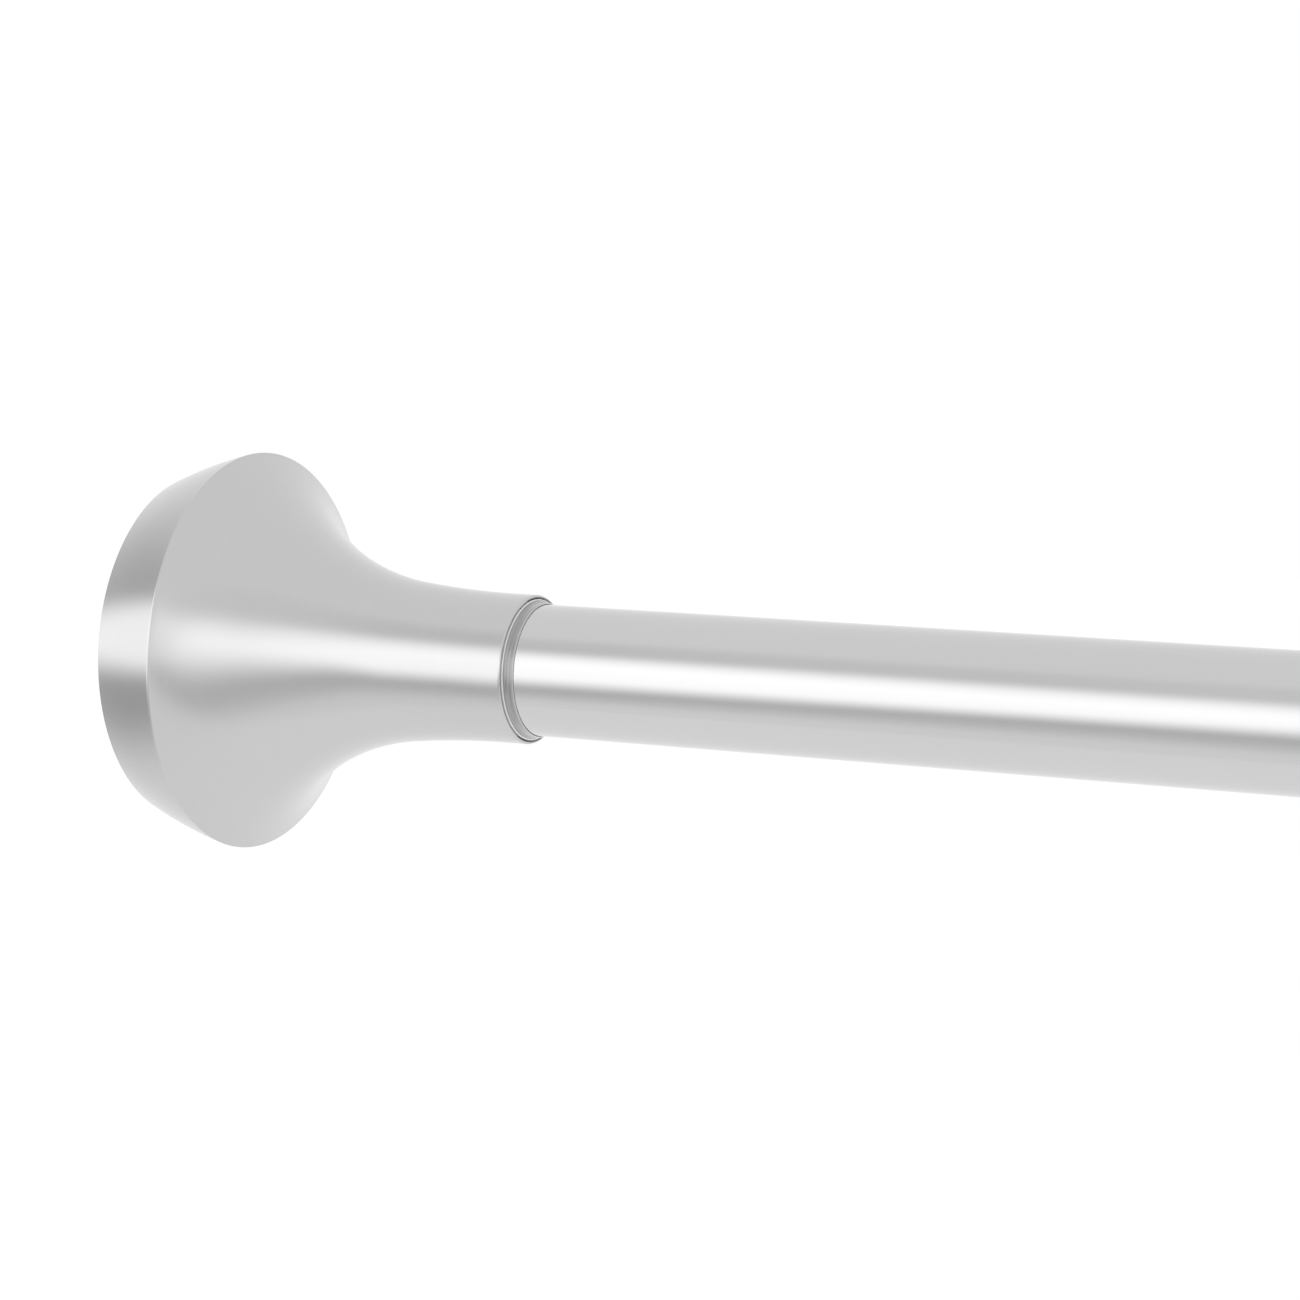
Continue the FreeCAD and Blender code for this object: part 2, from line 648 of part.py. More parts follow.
def make_thrust_washer(label):
    """Flat washer between the lock plug and the grip sleeve."""
    hole = f"({LOCK_RADIUS} + {CLEARANCE})"
    return turned(
        label,
        [
            (WASHER_START, hole),
            (WASHER_START, INNER_RADIUS),
            (SLEEVE_START, INNER_RADIUS),
            (SLEEVE_START, hole),
        ],
    )


def make_grip_sleeve(label):
    """Nylon sleeve with a tapered mouth, a seat for the rubber ring and slots that let it spread."""
    hole = f"({LOCK_RADIUS} + {CLEARANCE})"
    seat_half = f"({size('ring_seat_width')} / 2)"
    seat_middle = f"({SLEEVE_START} + {size('sleeve_web')} / 2)"
    seat_radius = f"({SLEEVE_RADIUS} - {size('grip_ring_section')})"
    sleeve = turned(
        label,
        [
            (SLEEVE_START, hole),
            (SLEEVE_START, SLEEVE_RADIUS),
            (f"({seat_middle} - {seat_half})", SLEEVE_RADIUS),
            (f"({seat_middle} - {seat_half})", seat_radius),
            (f"({seat_middle} + {seat_half})", seat_radius),
            (f"({seat_middle} + {seat_half})", SLEEVE_RADIUS),
            (SLEEVE_END, SLEEVE_RADIUS),
            (SLEEVE_END, SLEEVE_MOUTH),
            (SLEEVE_FLOOR, SLEEVE_THROAT),
            (SLEEVE_FLOOR, hole),
        ],
    )
    slot_start = f"({SLEEVE_FLOOR} + {size('sleeve_slot_width')})"
    beyond = f"({SLEEVE_END} + {LOOSE})"
    outside = f"({SLEEVE_RADIUS} + {LOOSE})"
    corners = [(slot_start, hole), (beyond, hole), (beyond, outside), (slot_start, outside)]
    slot = slab(sleeve, "PartDesign::Pocket", "slot", corners, size("sleeve_slot_width"))
    around(sleeve, slot, SLEEVE_SLOTS)
    return sleeve


def make_grip_ring(label):
    """Rubber ring in the sleeve's seat, as a torus about the rod's axis."""
    ring = doc.addObject("Part::Torus", label)
    ring.Label = label
    ring.setExpression("Radius2", f"{size('grip_ring_section')} / 2")
    ring.setExpression("Radius1", f"{SLEEVE_RADIUS} - {size('grip_ring_section')} / 2")
    along_rod = FreeCAD.Rotation(Vector(0, 1, 0), 90)
    ring.Placement = FreeCAD.Placement(Vector(0, 0, 0), along_rod)
    middle = f"{LOCK_PLACE} - {SLEEVE_START} - {size('sleeve_web')} / 2"
    ring.setExpression("Placement.Base.x", middle)
    return ring


def make_cone_nut(label):
    """Tapered nut that the stud draws into the sleeve, clear of it until it is drawn in."""
    hole = f"({LOCK_RADIUS} + {CLEARANCE})"
    seated_clearance = f"{CLEARANCE} / cos({size('sleeve_taper')} * 1 deg)"
    back = f"({SLEEVE_MOUTH} - {seated_clearance})"
    cone_length = f"({SLEEVE_END} + {size('cone_travel')} - {CONE_START})"
    front = f"({back} - {cone_length} * {SLOPE})"
    return turned(
        label,
        [
            (CONE_START, hole),
            (CONE_START, front),
            (f"({SLEEVE_END} + {size('cone_travel')})", back),
            (CONE_END, back),
            (CONE_END, hole),
        ],
    )


def make_stop_nut(label):
    """Hexagon nut at the stud's end: a prism with the stud's hole cut out."""
    prism = doc.addObject("Part::Prism", f"{label}_blank")
    prism.Polygon = 6
    prism.setExpression("Circumradius", f"{size('stop_nut_width')} / 2 / cos(30 * 1 deg)")
    prism.setExpression("Height", size("stop_nut_height"))
    hole = doc.addObject("Part::Cylinder", f"{label}_hole")
    hole.setExpression("Radius", LOCK_RADIUS)
    hole.setExpression("Height", size("stop_nut_height"))
    nut = doc.addObject("Part::Cut", label)
    nut.Label = label
    nut.Base = prism
    nut.Tool = hole
    towards_left = FreeCAD.Rotation(Vector(0, 1, 0), -90)
    nut.Placement = FreeCAD.Placement(Vector(0, 0, 0), towards_left)
    nut.setExpression("Placement.Base.x", f"{LOCK_PLACE} - {STOP_NUT_START}")
    return nut


def make_plunger(label):
    """Turned rod of the right foot: rod, collar behind the guide plug and peg in the spring."""
    collar = f"({INNER_BORE} - {LOOSE})"
    peg_end = f"({SPRING_START} + {size('spigot_length')})"
    hole_end = f"({PLUNGER_START} + {size('foot_screw_thread')} + {LOOSE})"
    return turned(
        label,
        [
            (PLUNGER_START, FOOT_SCREW_RADIUS),
            (PLUNGER_START, PLUNGER_RADIUS),
            (GUIDE_PLUG_END, PLUNGER_RADIUS),
            (GUIDE_PLUG_END, collar),
            (SPRING_START, collar),
            (SPRING_START, SPIGOT_RADIUS),
            (peg_end, SPIGOT_RADIUS),
            (peg_end, "0"),
            (hole_end, "0"),
            (hole_end, FOOT_SCREW_RADIUS),
        ],
    )


def make_guide_plug(label):
    """Moulded plug in the inner tube's right end, with the plunger's guide bore."""
    bore = f"({PLUNGER_RADIUS} + {CLEARANCE})"
    return turned(
        label,
        [
            (GUIDE_FLANGE, bore),
            (GUIDE_FLANGE, INNER_RADIUS),
            (INNER_TUBE_END, INNER_RADIUS),
            (INNER_TUBE_END, INNER_BORE),
            (GUIDE_PLUG_END, INNER_BORE),
            (GUIDE_PLUG_END, bore),
        ],
    )


def make_spring_seat(label):
    """Moulded plug pressed into the inner tube behind the spring, with a peg in the spring."""
    peg_start = f"({SPRING_END} - {size('spigot_length')})"
    seat_end = f"({SPRING_END} + {size('spring_seat_length')})"
    return turned(
        label,
        [
            (peg_start, "0"),
            (peg_start, SPIGOT_RADIUS),
            (SPRING_END, SPIGOT_RADIUS),
            (SPRING_END, INNER_BORE),
            (seat_end, INNER_BORE),
            (seat_end, "0"),
        ],
    )


def make_foot_spring(label):
    """Compression spring: a round wire carried along a helix about the rod's axis."""
    body = new_body(label)
    sketch = new_sketch(body, "wire")
    wire = f"({size('spring_wire')} / 2)"
    start = f"({SPRING_START} + {wire})"
    centre = Vector(number(start), number(SPRING_RADIUS), 0)
    circle = sketch.addGeometry(Part.Circle(centre, Vector(0, 0, 1), number(wire)), False)
    tie(sketch, "DistanceX", circle, 3, start)
    tie(sketch, "DistanceY", circle, 3, SPRING_RADIUS)
    datum = sketch.addConstraint(Sketcher.Constraint("Radius", circle, number(wire)))
    sketch.setExpression(f"Constraints[{datum}]", wire)
    coil = body.newObject("PartDesign::AdditiveHelix", f"{label}_coil")
    coil.Profile = sketch
    coil.ReferenceAxis = (sketch, ["H_Axis"])
    coil.Mode = "pitch-height-angle"
    coil.setExpression("Pitch", size("spring_pitch"))
    coil.setExpression("Height", f"{size('spring_length')} - {size('spring_wire')}")
    coil.Angle = 0
    coil.Reversed = False
    doc.recompute()
    return body


# The assembly, from the left wall to the right

node_list = []


def keep(piece):
    """Add a finished sub-part to the nodes that are written."""
    node_list.append(piece)


def build_left_end():
    """Outer tube with its foot, its collar and the left cover."""
    outer_tube = make_tube("outer_tube", OUTER_RADIUS, OUTER_BORE, size("outer_tube_length"))
    place_from_left(outer_tube, TUBE_START)
    collar = make_collar("outer_tube_collar")
    place_from_left(collar, TUBE_END)
    socket = f"({OUTER_RADIUS} + {CLEARANCE})"
    screw_hole = f"({FOOT_SCREW_RADIUS} + {CLEARANCE})"
    socket_mouth = f"({PLATE_BACK} + {size('left_hub_length')})"
    bore_steps = [
        (socket_mouth, socket),
        (PLATE_BACK, socket),
        (PLATE_BACK, screw_hole),
        (HEAD_SEAT, screw_hole),
    ]
    plate = make_foot_plate("left_foot_plate", socket, size("left_hub_length"), bore_steps)
    plug = make_left_end_plug("left_end_plug")
    pad = make_foot_pad("left_foot_pad")
    screw = make_left_foot_screw("left_foot_screw")
    for piece in (plate, plug, pad, screw):
        place_from_left(piece)
    cover = make_cover("left_cover")
    place_from_left(cover, size("cover_wall_gap"))
    bush = make_neck_bush("left_neck_bush", f"({OUTER_RADIUS} + {CLEARANCE})")
    place_from_left(bush, f"{size('cover_wall_gap')} + {size('cover_length')}")
    for piece in (outer_tube, collar, plug, plate, pad, screw, cover, bush):
        keep(piece)


def build_twist_lock():
    """Lock pieces at the inner tube's left end, inside the outer tube."""
    plug = make_lock_plug("lock_plug")
    stud = make_lock_screw("lock_screw")
    washer = make_thrust_washer("thrust_washer")
    sleeve = make_grip_sleeve("grip_sleeve")
    cone = make_cone_nut("cone_nut")
    for piece in (plug, stud, washer, sleeve, cone):
        place_facing_left(piece, LOCK_PLACE)
        keep(piece)
    keep(make_grip_ring("grip_ring"))
    keep(make_stop_nut("stop_nut"))


def build_right_end():
    """Inner tube with its sprung foot and the right cover."""
    inner_tube = make_tube("inner_tube", INNER_RADIUS, INNER_BORE, INNER_LENGTH)
    place_from_left(inner_tube, LOCK_PLACE)
    keep(inner_tube)
    pivot = f"({SHOULDER_RADIUS} + {CLEARANCE})"
    bore_steps = [(RIGHT_HUB_END, pivot), (HEAD_SEAT, pivot)]
    plate = make_foot_plate("right_foot_plate", pivot, size("right_hub_length"), bore_steps)
    pieces = [
        plate,
        make_foot_pad("right_foot_pad"),
        make_right_foot_screw("right_foot_screw"),
        make_plunger("plunger"),
        make_guide_plug("guide_plug"),
        make_foot_spring("foot_spring"),
        make_spring_seat("spring_seat"),
    ]
    for piece in pieces:
        place_facing_left(piece, ROD_LENGTH)
        keep(piece)
    cover = make_cover("right_cover")
    place_facing_left(cover, f"{ROD_LENGTH} - {size('cover_wall_gap')}")
    bush = make_neck_bush("right_neck_bush", f"({INNER_RADIUS} + {CLEARANCE})")
    place_facing_left(bush, RIGHT_MOUTH)
    keep(cover)
    keep(bush)


def check_model():
    """Stop if any object failed, or any sub-part isn't one valid solid."""
    for item in doc.Objects:
        if "Invalid" in item.State or "Error" in item.State:
            raise RuntimeError(f"{item.Name} failed: {item.State}")
    for piece in node_list:
        shape = piece.Shape
        if shape.isNull() or not shape.isValid() or not shape.Solids:
            raise RuntimeError(f"{piece.Label} has no valid solid")


build_left_end()
build_twist_lock()
build_right_end()
doc.recompute()
check_model()

os.makedirs("parts", exist_ok=True)
for piece in node_list:
    piece.Shape.exportStep(os.path.join("parts", f"{piece.Label}.step"))
    print(f"{piece.Label}: {len(piece.Shape.Solids)} solid, {piece.Shape.Volume:.1f} mm3")
print(f"rod length at rest {number(ROD_LENGTH):.1f} mm, inner tube {number(INNER_LENGTH):.1f} mm")
print(f"lock at {number(LOCK_PLACE):.1f} mm, neck radius {number(NECK_RADIUS):.2f} mm")
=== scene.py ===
"""Looks of the extendable curtain rod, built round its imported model.

Everything is in metres in the model's own frame. The origin is the middle of the left foot's face,
X runs along the rod away from the left wall, and Z points up.
"""

import logging
import math
from dataclasses import dataclass
from enum import Enum
from typing import Callable, ClassVar, Sequence

import bpy
import numpy as np
from mathutils import Matrix, Vector


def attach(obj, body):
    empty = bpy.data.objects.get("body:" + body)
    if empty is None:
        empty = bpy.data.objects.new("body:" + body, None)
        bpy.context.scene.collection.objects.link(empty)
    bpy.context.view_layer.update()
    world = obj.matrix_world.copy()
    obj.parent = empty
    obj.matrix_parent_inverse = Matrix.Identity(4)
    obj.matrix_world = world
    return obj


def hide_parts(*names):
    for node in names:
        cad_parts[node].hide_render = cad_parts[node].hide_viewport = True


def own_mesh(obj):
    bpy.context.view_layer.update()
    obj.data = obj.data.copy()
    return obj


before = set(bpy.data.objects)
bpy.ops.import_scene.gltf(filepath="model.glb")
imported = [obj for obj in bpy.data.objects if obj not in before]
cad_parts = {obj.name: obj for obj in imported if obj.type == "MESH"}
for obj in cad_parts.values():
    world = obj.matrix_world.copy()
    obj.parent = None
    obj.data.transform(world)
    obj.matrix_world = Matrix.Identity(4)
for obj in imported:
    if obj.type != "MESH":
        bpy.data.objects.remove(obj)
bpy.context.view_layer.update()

LOG = logging.getLogger("curtain_rod")
MM = 0.001
Colour = tuple[float, float, float]
BLACK: Colour = (0.0, 0.0, 0.0)
WHITE: Colour = (1.0, 1.0, 1.0)
ROD_LENGTH = 660.0 * MM


# Shader sums


def _operator(operation: str, reflected: bool = False) -> Callable[..., "Value"]:
    """Make a Value method that adds one Math node.

    Args:
        operation: name of the Math node's operation.
        reflected: True if the other operand comes first.

    Returns:
        The method, which takes the other operand, if there is one, as a Value or a number.
    """

    def method(self: "Value", *others: "Value | float") -> "Value":
        """Result of the Math node on this value and the others."""
        node = self.tree.nodes.new("ShaderNodeMath")
        node.operation = operation
        for socket, operand in zip(node.inputs, (*others, self) if reflected else (self, *others)):
            if isinstance(operand, Value):
                self.tree.links.new(operand.socket, socket)
            else:
                socket.default_value = float(operand)
        return Value(self.tree, node.outputs[0])

    return method


class Value:
    """A number that changes over a surface: Python's sums on its socket add Math nodes."""

    def __init__(self, tree: bpy.types.NodeTree, socket: bpy.types.NodeSocket) -> None:
        """Keep the socket and the tree that it belongs to."""
        self.tree = tree
        self.socket = socket

    __add__ = __radd__ = _operator("ADD")
    __sub__, __rsub__ = _operator("SUBTRACT"), _operator("SUBTRACT", reflected=True)
    __mul__ = __rmul__ = _operator("MULTIPLY")
    __truediv__, __rtruediv__ = _operator("DIVIDE"), _operator("DIVIDE", reflected=True)
    at_least, at_most = _operator("MAXIMUM"), _operator("MINIMUM")
    root = _operator("SQRT")

    def past(self, start: float) -> "Value":
        """How far the value lies past a start, or 0 before it."""
        return self.at_least(start) - start

    def rise(self, low: float, high: float) -> "Value":
        """Smooth step.

        Args:
            low: where the step starts, with a result of 0.
            high: where it ends, with a result of 1.

        Returns:
            3 t squared minus 2 t cubed, with t the value's share of the way from low to high.
        """
        node = self.tree.nodes.new("ShaderNodeMapRange")
        node.interpolation_type = "SMOOTHSTEP"
        self.tree.links.new(self.socket, node.inputs["Value"])
        node.inputs["From Min"].default_value = low
        node.inputs["From Max"].default_value = high
        return Value(self.tree, node.outputs["Result"])


class ShaderTree:
    """The nodes of one material or world, with the few ways in which this scene adds to them."""

    def __init__(self, tree: bpy.types.NodeTree) -> None:
        """Start from an empty tree."""
        self.tree = tree
        tree.nodes.clear()

    def node(
        self,
        kind: str,
        settings: dict[str, object] | None = None,
        inputs: dict[str | int, object] | None = None,
    ) -> bpy.types.Node:
        """Add a node of any kind.

        Args:
            kind: type name of the node.
            settings: properties that are set before the sockets.
            inputs: what each socket gets: a Value, another node's socket, or a plain value.

        Returns:
            The new node.
        """
        made = self.tree.nodes.new(kind)
        for name, value in (settings or {}).items():
            setattr(made, name, value)
        for name, value in (inputs or {}).items():
            socket = made.inputs[name]
            if isinstance(value, Value):
                self.tree.links.new(value.socket, socket)
            elif isinstance(value, bpy.types.NodeSocket):
                self.tree.links.new(value, socket)
            else:
                socket.default_value = value
        return made

    def value(self, node: bpy.types.Node, output: str | int = 0) -> Value:
        """One of a node's outputs, as a Value."""
        return Value(self.tree, node.outputs[output])

    def here(self) -> bpy.types.NodeSocket:
        """The surface point in the object's own frame, in metres, as a vector."""
        return self.node("ShaderNodeTexCoord").outputs["Object"]

    def place(self) -> tuple[Value, Value, Value]:
        """The surface point's x, y and z in the object's own frame, in metres."""
        split = self.node("ShaderNodeSeparateXYZ", inputs={0: self.here()})
        return self.value(split, 0), self.value(split, 1), self.value(split, 2)

    def round_place(self) -> tuple[Value, Value, Value, Value]:
        """The place along the rod, the radius, and the way out from the rod across and up."""
        x, y, z = self.place()
        radius = (y * y + z * z).root().at_least(1e-5)
        return x, radius, y / radius, z / radius

    def vector(self, x: Value | float, y: Value | float, z: Value | float) -> bpy.types.NodeSocket:
        """A vector from three numbers."""
        return self.node("ShaderNodeCombineXYZ", inputs={0: x, 1: y, 2: z}).outputs[0]

    def noise(
        self, where: bpy.types.NodeSocket, scale: float, detail: float = 2.0, rough: float = 0.5
    ) -> Value:
        """Smooth noise, about 0.5 on average.

        Args:
            where: vector at which the noise is read.
            scale: how many swells there are in one unit of that vector.
            detail: number of finer layers.
            rough: strength of each finer layer against the last.

        Returns:
            The noise.
        """
        inputs = {"Vector": where, "Scale": scale, "Detail": detail, "Roughness": rough}
        return self.value(self.node("ShaderNodeTexNoise", {"noise_dimensions": "3D"}, inputs), 0)

    def blend(self, share: Value, first: Colour, second: Colour) -> bpy.types.NodeSocket:
        """A colour between two.

        Args:
            share: 0 for the first colour, 1 for the second.
            first: linear colour.
            second: linear colour.

        Returns:
            The socket of the blended colour.
        """
        mix = self.node("ShaderNodeMix", {"data_type": "RGBA", "clamp_factor": True})
        self.tree.links.new(share.socket, mix.inputs[0])
        mix.inputs[6].default_value = (*first, 1.0)
        mix.inputs[7].default_value = (*second, 1.0)
        return mix.outputs[2]

    def around(
        self, share: Value, colour: Colour, below: float, above: float
    ) -> bpy.types.NodeSocket:
        """A colour that varies about its mean.

        Args:
            share: 0 for the darkest, 1 for the lightest.
            colour: mean linear colour.
            below: factor of the darkest.
            above: factor of the lightest, which stays within white.

        Returns:
            The socket of the colour.
        """
        light = tuple(min(1.0, channel * above) for channel in colour)
        return self.blend(share, tuple(channel * below for channel in colour), light)

    def surface(self, inputs: dict[str | int, object]) -> bpy.types.Node:
        """A Principled shader with these inputs."""
        return self.node("ShaderNodeBsdfPrincipled", inputs=inputs)

    def relief(self, height: Value) -> bpy.types.NodeSocket:
        """Bumped normal from a height in metres."""
        inputs = {"Strength": 1.0, "Distance": 1.0, "Height": height}
        return self.node("ShaderNodeBump", inputs=inputs).outputs[0]


def new_material(name: str, shade: Callable[[ShaderTree], bpy.types.Node]) -> bpy.types.Material:
    """Make a material.

    Args:
        name: its name.
        shade: what adds the nodes to its empty tree and returns the shader.

    Returns:
        The material.
    """
    material = bpy.data.materials.new(name)
    material.use_nodes = True
    tree = ShaderTree(material.node_tree)
    shader = shade(tree)
    tree.node("ShaderNodeOutputMaterial", inputs={"Surface": shader.outputs[0]})
    return material


# Finishes


class Brushing(Enum):
    """Which way the polishing marks run on a round piece.

    The numbers say how fine the noise is: the marks and the hairlines along the rod, the same two
    round it, and where along it the hairlines' noise starts.
    """

    ALONG = (14.0, 60.0, 75.0, 110.0, 3.0)
    AROUND = (1900.0, 2600.0, 2.2, 7.0, 0.0)


class Finish:
    """What every finish shares: its material is made once and given to any piece that asks."""

    made: dict[str, bpy.types.Material] = {}
    name: str

    def material(self) -> bpy.types.Material:
        """The finish's material, made at the first call."""
        if self.name not in Finish.made:
            Finish.made[self.name] = new_material(self.name, self.shade)
        return Finish.made[self.name]

    def shade(self, tree: ShaderTree) -> bpy.types.Node:
        """Add the finish's nodes and return its shader."""
        raise NotImplementedError

    def dress(self, piece: bpy.types.Object) -> None:
        """Give a piece this finish alone."""
        piece.data.materials.clear()
        piece.data.materials.append(self.material())


class Mottled(Finish):
    """Finish whose colour and roughness follow two patterns that run from 0 to 1.

    The first pattern has the given share of the colour and the second has the rest, and rough_by
    says how far each of the two moves the roughness.
    """

    roughness: float
    share: float
    rough_by: tuple[float, float]

    def mixed(self, first: Value, second: Value) -> Value:
        """Both patterns in one that runs from 0 to 1."""
        return first * self.share + second * (1.0 - self.share)

    def roughened(self, first: Value, second: Value) -> Value:
        """Roughness that follows both patterns about its mean."""
        by_first, by_second = self.rough_by
        return self.roughness + (first - 0.5) * by_first + (second - 0.5) * by_second


@dataclass(frozen=True)
class SatinSteel(Mottled):
    """Satin stainless steel with fine polishing marks, faint ripples and rare hairline scratches.

    Args:
        name: name of the material.
        tone: linear reflectance.
        roughness: mean roughness.
        brushing: way of the polishing marks.
        ripple: height of the faint waves left by forming, in metres.
        mark: height of the polishing marks.
        scratch: depth of the hairlines.
        scratch_rough: how much rougher they are.
        spread: share by which the reflectance varies.
        blue: how much more blue than red its lightest spots mirror.
        share: share of the marks in the tone, against handling.
        rough_by: how far the marks and the handling move the roughness.
    """

    name: str
    tone: float
    roughness: float
    brushing: Brushing
    ripple: float
    mark: float = 2.2e-7
    scratch: float = 4e-7
    scratch_rough: float = 0.08
    spread: float = 0.035
    blue: float = 1.004
    share: float = 0.6
    rough_by: tuple[float, float] = (0.05, 0.03)

    def marks(self, tree: ShaderTree) -> tuple[Value, Value]:
        """Polishing marks and hairlines.

        Along the rod, the noise is read at (x, direction round the rod), stretched along x.
        Round the rod, it is read at (x minus radius, direction), which is fine across the marks.

        Returns:
            Fine marks from 0 to 1, and hairlines that are 1 on a scratch and 0 beside it.
        """
        x, radius, across, up = tree.round_place()
        along = x if self.brushing is Brushing.ALONG else x - radius
        fine, hair, fine_round, hair_round, hair_start = self.brushing.value
        fine_place = tree.vector(along * fine, across * fine_round, up * fine_round)
        hair_along = along * hair + hair_start
        hair_place = tree.vector(hair_along, across * hair_round, up * hair_round)
        hairlines = tree.noise(hair_place, scale=1.0, detail=0.0).rise(low=0.83, high=0.9)
        return tree.noise(fine_place, scale=1.0, detail=3.0, rough=0.6), hairlines

    def shade(self, tree: ShaderTree) -> bpy.types.Node:
        """Metal whose tone, roughness and relief follow the marks, ripples and handling."""
        fine, hair = self.marks(tree)
        handling = tree.noise(tree.here(), scale=26.0, detail=2.0, rough=0.55)
        ripples = tree.noise(tree.here(), scale=95.0, detail=1.0, rough=0.4)
        shade = self.tone * (1.0 - self.spread)
        light = min(1.0, self.tone * (1.0 + self.spread))
        tones = (shade, shade, shade), (light, light, light * self.blue)
        height = fine * self.mark + ripples * self.ripple - hair * self.scratch
        inputs = {
            "Base Color": tree.blend(self.mixed(fine, handling), *tones),
            "Metallic": 1.0,
            "Roughness": self.roughened(fine, handling) + hair * self.scratch_rough,
            "Normal": tree.relief(height),
        }
        return tree.surface(inputs)


@dataclass(frozen=True)
class Moulding(Mottled):
    """Moulded plastic or nylon: a fine spark-eroded grain, faint flow clouds and dust.

    Args:
        name: name of the material.
        colour: linear colour.
        roughness: mean roughness.
        grain: height of the grain, in metres.
        share: share of the flow clouds in the colour, against the grain.
        rough_by: how far the clouds and the grain move the roughness.
    """

    name: str
    colour: Colour
    roughness: float
    grain: float
    share: float = 0.7
    rough_by: tuple[float, float] = (0.12, 0.06)

    def shade(self, tree: ShaderTree) -> bpy.types.Node:
        """Plastic whose colour, roughness and relief follow its grain and flow clouds."""
        grain = tree.noise(tree.here(), scale=2600.0, detail=2.0, rough=0.6)
        clouds = tree.noise(tree.here(), scale=55.0, detail=3.0, rough=0.55)
        colour = tree.around(self.mixed(clouds, grain), self.colour, below=0.93, above=1.07)
        inputs = {
            "Base Color": colour,
            "Roughness": self.roughened(clouds, grain),
            "Normal": tree.relief(grain * self.grain),
        }
        return tree.surface(inputs)


@dataclass(frozen=True)
class SlideRing(Mottled):
    """Glossy moulded ring on a tube: fine rings, and highlights painted on its tip and bead.

    Args:
        name: name of the material.
        colour: mean linear colour.
        pale: linear colour painted on the tip, as its highlight.
        roughness: mean roughness.
        gloss: index of refraction, which sets how strongly the skin mirrors.
        tip: distance of the ring's tip from the rod's middle.
        tip_highlight_length: length over which the tip's painted highlight fades.
        bead: radius from which the bead is painted paler still, as its highlight.
        bead_highlight: linear colour of the bead's painted highlight.
        bead_edge: width over which it gets that pale.
        spread: share by which the colour varies between the fine rings.
        fineness: how fine the rings are, in swells in a metre.
        wander: how much they change round the rod.
        ring_height: height of the rings, in metres.
        grain_height: height of the grain.
        coat_roughness: roughness of the glossy skin.
        share: share of the rings in the colour, against the grain.
        rough_by: how far the rings and the grain move the roughness.
    """

    name: str
    colour: float
    pale: float
    roughness: float
    gloss: float
    tip: float
    tip_highlight_length: float
    bead: float
    bead_highlight: float = 0.8
    bead_edge: float = 0.1 * MM
    spread: float = 0.42
    fineness: float = 2900.0
    wander: float = 1.3
    ring_height: float = 1.5e-6
    grain_height: float = 1.2e-6
    coat_roughness: float = 0.12
    share: float = 0.8
    rough_by: tuple[float, float] = (0.08, 0.05)

    def shade(self, tree: ShaderTree) -> bpy.types.Node:
        """Plastic with rings and a fine grain; its tip and bead get painted highlights.

        The rings are noise read at the place along the rod less the radius, and nearly alike all
        the way round.
        """
        x, radius, across, up = tree.round_place()
        grain = tree.noise(tree.here(), scale=2600.0, detail=2.0, rough=0.6)
        along = (x - radius) * self.fineness
        ring_place = tree.vector(along, across * self.wander, up * self.wander)
        rings = tree.noise(ring_place, scale=1.0, detail=2.0, rough=0.6).rise(low=0.3, high=0.7)
        # painted highlight: the colour near the tip is painted pale, standing in for the tube's
        # highlight running onto it
        from_middle = (x - ROD_LENGTH / 2.0).at_least(ROD_LENGTH / 2.0 - x)
        tip = 1.0 - from_middle.rise(self.tip, self.tip + self.tip_highlight_length)
        dark, light = self.colour * (1.0 - self.spread), self.colour * (1.0 + self.spread)
        tone = self.mixed(rings, grain) * (light - dark) + dark
        tone = tone + tip * (self.pale - tone)
        # painted highlight: the bead's outer edge is painted paler still, standing in for the light
        # that it catches
        bead = radius.rise(self.bead, self.bead + self.bead_edge)
        tone = tone + bead * (self.bead_highlight - tone)
        inputs = {
            "Base Color": tree.blend(tone, BLACK, WHITE),
            "IOR": self.gloss,
            "Roughness": self.roughened(rings, grain),
            "Coat Weight": 1.0,
            "Coat Roughness": self.coat_roughness,
            "Normal": tree.relief(grain * self.grain_height + rings * self.ring_height),
        }
        return tree.surface(inputs)


@dataclass(frozen=True)
class Rubber(Finish):
    """Matt rubber with a grained skin and a little grey bloom.

    Args:
        name: name of the material.
        colour: linear colour under the bloom.
        bloom: linear colour of the dusty bloom.
        bloom_share: how much of a patch is bloom.
        grain_share: how much bloom lies on the grain.
        roughness: roughness without bloom.
        bloom_rough: how much rougher the bloom is.
        grain: height of the grain, in metres.
    """

    name: str
    colour: Colour
    bloom: Colour
    bloom_share: float = 0.6
    grain_share: float = 0.15
    roughness: float = 0.66
    bloom_rough: float = 0.16
    grain: float = 9e-6

    def shade(self, tree: ShaderTree) -> bpy.types.Node:
        """Dark rubber with bloom in soft patches over a fine grain."""
        grain = tree.noise(tree.here(), scale=1700.0, detail=3.0, rough=0.65)
        patches = tree.noise(tree.here(), scale=90.0, detail=3.0, rough=0.6)
        patches = patches.rise(low=0.42, high=0.78)
        bloom = patches * self.bloom_share + grain * self.grain_share
        inputs = {
            "Base Color": tree.blend(bloom, self.colour, self.bloom),
            "Roughness": self.roughness + patches * self.bloom_rough,
            "Normal": tree.relief(grain * self.grain),
        }
        return tree.surface(inputs)


